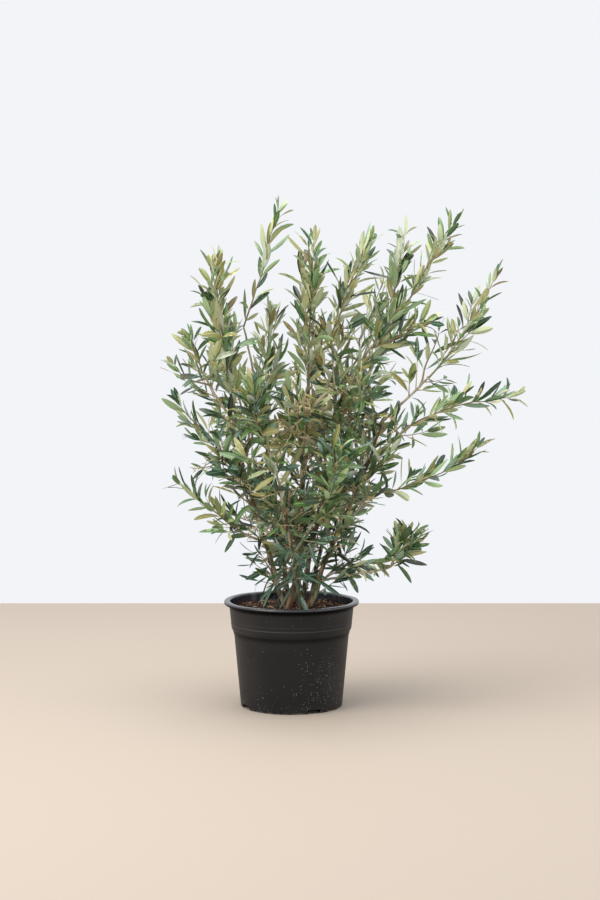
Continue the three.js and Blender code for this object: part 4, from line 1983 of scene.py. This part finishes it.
@dataclass
class Compost:
    """Bark compost: a crumbly surface with loose chips and splinters lying on it."""

    top: float
    radius: float
    finish: CompostFinish = CompostFinish()
    chip_finishes: tuple[PlainFinish, ...] = (
        PlainFinish("chip_dark", (44, 31, 24), 0.95),
        PlainFinish("chip_red", (92, 56, 38), 0.9),
        PlainFinish("chip_brown", (74, 54, 42), 0.9),
        PlainFinish("chip_tan", (148, 116, 84), 0.85),
        PlainFinish("chip_pale", (184, 158, 126), 0.85),
    )
    chip_weights: tuple[float, ...] = (0.34, 0.28, 0.22, 0.11, 0.05)
    chip_count: int = 1500
    splinter_share: float = 0.22
    splinter_half_length: Range = (0.006, 0.011)
    splinter_half_width: Range = (0.0005, 0.001)
    splinter_half_height: float = 0.0006
    chip_half_length: Range = (0.002, 0.0065)
    chip_half_height: Range = (0.0004, 0.0014)
    chip_slimness: Range = (0.35, 0.8)
    chip_lean: float = 0.28
    rings: int = 34
    segments: int = 96
    depth: float = 0.02
    edge_drop: float = 0.003
    crumb: float = 0.0022

    def level(self, x: float, y: float) -> float:
        """Give the height of the surface over a point.

        Args:
            x: The point's X.
            y: The point's Y.

        Returns:
            The height.
        """
        share = math.hypot(x, y) / self.radius
        drop = self.edge_drop * max(share - 0.6, 0.0) / 0.4
        broad = noise.noise(Vector((x * 24.0, y * 24.0, 0.0))) * 1.4
        fine = noise.noise(Vector((x * 130.0, y * 130.0, 5.0))) * 0.9
        return self.top - drop + (broad + fine) * self.crumb

    def build(self) -> None:
        """Make the compost and its chips."""
        sink = MeshSink()
        corners = [(0.0, 0.0, self.level(0.0, 0.0))]
        for ring in range(1, self.rings + 1):
            reach = self.radius * ring / self.rings
            for i in range(self.segments):
                angle = TURN * i / self.segments
                x, y = reach * math.cos(angle), reach * math.sin(angle)
                corners.append((x, y, self.level(x, y)))
        low = self.top - self.depth
        corners += [(*corner[:2], low) for corner in corners[-self.segments :]]
        corners.append((0.0, 0.0, low))
        faces: list[tuple[int, ...]] = []
        for i in range(self.segments):
            k = (i + 1) % self.segments
            faces.append((0, 1 + i, 1 + k))
            for ring in range(self.rings):
                start, end = 1 + ring * self.segments, 1 + (ring + 1) * self.segments
                faces.append((start + i, end + i, end + k, start + k))
            floor = 1 + self.rings * self.segments
            faces.append((floor + i, len(corners) - 1, floor + k))
        sink.add(np.array(corners), faces)
        surface = sink.piece("compost_surface", [self.finish.material()])
        chips = self._chips()
        for piece in (surface, chips):
            settle(piece, "soil", "compost")
        LOG.info("compost with %d chips", self.chip_count)

    def _chips(self) -> bpy.types.Object:
        """Scatter bark chips, a few of them thin splinters.

        Returns:
            The chips, joined.
        """
        rng = seeded("chips")
        sink = MeshSink()
        box = np.array([(x, y, z) for z in (-1, 1) for y in (-1, 1) for x in (-1, 1)], float)
        faces = [(0, 2, 3, 1), (4, 5, 7, 6), (0, 1, 5, 4), (2, 6, 7, 3), (0, 4, 6, 2), (1, 3, 7, 5)]
        weights = np.array(self.chip_weights) / sum(self.chip_weights)
        for _ in range(self.chip_count):
            reach = self.radius * math.sqrt(rng.uniform(0.0, 0.985))
            around = rng.uniform(0.0, TURN)
            kind = int(rng.choice(len(weights), p=weights))
            splinter = rng.random() < self.splinter_share
            long = rng.uniform(*(self.splinter_half_length if splinter else self.chip_half_length))
            wide = long * rng.uniform(*self.chip_slimness)
            half = np.array([long, wide, rng.uniform(*self.chip_half_height)])
            if splinter:
                half[1:] = rng.uniform(*self.splinter_half_width), self.splinter_half_height
            shape = box * half * rng.uniform(0.6, 1.15, box.shape)
            turn = rng.uniform(0.0, TURN)
            tilt, lean = rng.normal(0.0, self.chip_lean), rng.normal(0.0, self.chip_lean)
            ahead = np.array([math.cos(turn), math.sin(turn), math.tan(tilt)])
            side = unit(np.cross(np.array([math.sin(lean), 0.0, 1.0]), ahead))
            ahead = unit(ahead)
            lift = np.cross(ahead, side)
            x, y = reach * math.cos(around), reach * math.sin(around)
            margin = self.radius - half[0]
            if math.hypot(x, y) > margin:
                x, y = x * margin / reach, y * margin / reach
            height = self.level(x, y) + rng.uniform(0.0, self.crumb)
            placed = shape @ np.array([ahead, side, lift]) + np.array([x, y, height])
            sink.add(placed, faces, kind)
        materials = [finish.material() for finish in self.chip_finishes]
        return sink.piece("compost_chips", materials, smooth=False)


# ---------------------------------------------------------------- studio


@dataclass
class Studio:
    """The pale floor, the soft light and the camera."""

    floor: PlainFinish = PlainFinish("studio_floor", (182, 168, 153), 0.75)
    floor_low: Range = (-2.6, -2.6)
    floor_high: Range = (2.6, 1.27)
    floor_depth: float = 0.02
    backdrop: Colour = (242, 244, 248)
    camera_place: Triple = (0.0162, -3.795, 0.7836)
    camera_pitch: float = math.radians(4.413)
    lens: float = 80.0
    sensor: float = 36.0
    aim: Triple = (0.05, 0.0, 0.4)

    def build(self) -> None:
        """Set up the floor, the lights and the camera."""
        self._floor()
        self._world()
        self._softbox("window_left", (-2.0, -1.6, 2.3), 1.9, 55.0, (1.0, 0.99, 0.97))
        self._softbox("window_right", (2.6, -0.9, 1.5), 2.2, 10.0, (0.98, 0.99, 1.0))
        self._softbox("overhead", (-0.2, -0.2, 2.7), 1.5, 40.0, (1.0, 1.0, 1.0))
        self._camera()

    def _floor(self) -> None:
        """Lay a pale floor."""
        sink = MeshSink()
        low, high = self.floor_low, self.floor_high
        rim = [(low[0], low[1]), (high[0], low[1]), (high[0], high[1]), (low[0], high[1])]
        corners = [(x, y, z) for z in (0.0, -self.floor_depth) for x, y in rim]
        faces: list[tuple[int, ...]] = [(0, 1, 2, 3), (7, 6, 5, 4)]
        faces += [(i, 4 + i, 4 + (i + 1) % 4, (i + 1) % 4) for i in range(4)]
        sink.add(np.array(corners), faces)
        sink.piece("studio_floor", [self.floor.material()], smooth=False)

    def _world(self) -> None:
        """Light the room evenly from all round."""
        scene = bpy.context.scene
        scene.view_settings.view_transform = "Standard"
        world = bpy.data.worlds.new("studio")
        world.use_nodes = True
        world.node_tree.nodes["Background"].inputs["Color"].default_value = linear(*self.backdrop)
        scene.world = world

    def _softbox(
        self,
        name: str,
        place: Triple,
        size: float,
        power: float,
        colour: Triple,
    ) -> None:
        """Hang a soft square light that faces the plant.

        Args:
            name: Its name.
            place: Where it hangs.
            size: The length of its side.
            power: Its power in watts.
            colour: Its colour.
        """
        data = bpy.data.lights.new(name, "AREA")
        data.size = size
        data.energy = power
        data.color = colour
        light = bpy.data.objects.new(name, data)
        light.location = place
        aim = Vector(self.aim) - Vector(place)
        light.rotation_euler = aim.to_track_quat("-Z", "Y").to_euler()
        bpy.context.scene.collection.objects.link(light)

    def _camera(self) -> None:
        """Set the camera in front of the plant, a little above its middle."""
        data = bpy.data.cameras.new("camera")
        data.lens = self.lens
        data.sensor_width = self.sensor
        camera = bpy.data.objects.new("camera", data)
        camera.location = self.camera_place
        camera.rotation_euler = (QUARTER - self.camera_pitch, 0.0, 0.0)
        bpy.context.scene.collection.objects.link(camera)
        bpy.context.scene.camera = camera


# ---------------------------------------------------------------- the whole bush


def main() -> None:
    """Build the bush piece by piece and note its size."""
    logging.basicConfig(level=logging.INFO, format="%(name)s: %(message)s")
    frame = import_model()
    nodes = frame["nodes"]
    Studio().build()

    pot_low, pot_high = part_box("pot")
    soil_low, soil_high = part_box("soil")
    Pot(height=pot_high.z, lip_radius=0.5 * (pot_high.x - pot_low.x)).build()
    Compost(top=soil_high.z, radius=0.5 * (soil_high.x - soil_low.x)).build()

    foot = np.array([0.0, 0.0, soil_high.z])
    framework = Framework()
    framework.build(nodes, foot)
    Crown().build(nodes, framework, foot)


if __name__ == "__main__":
    main()
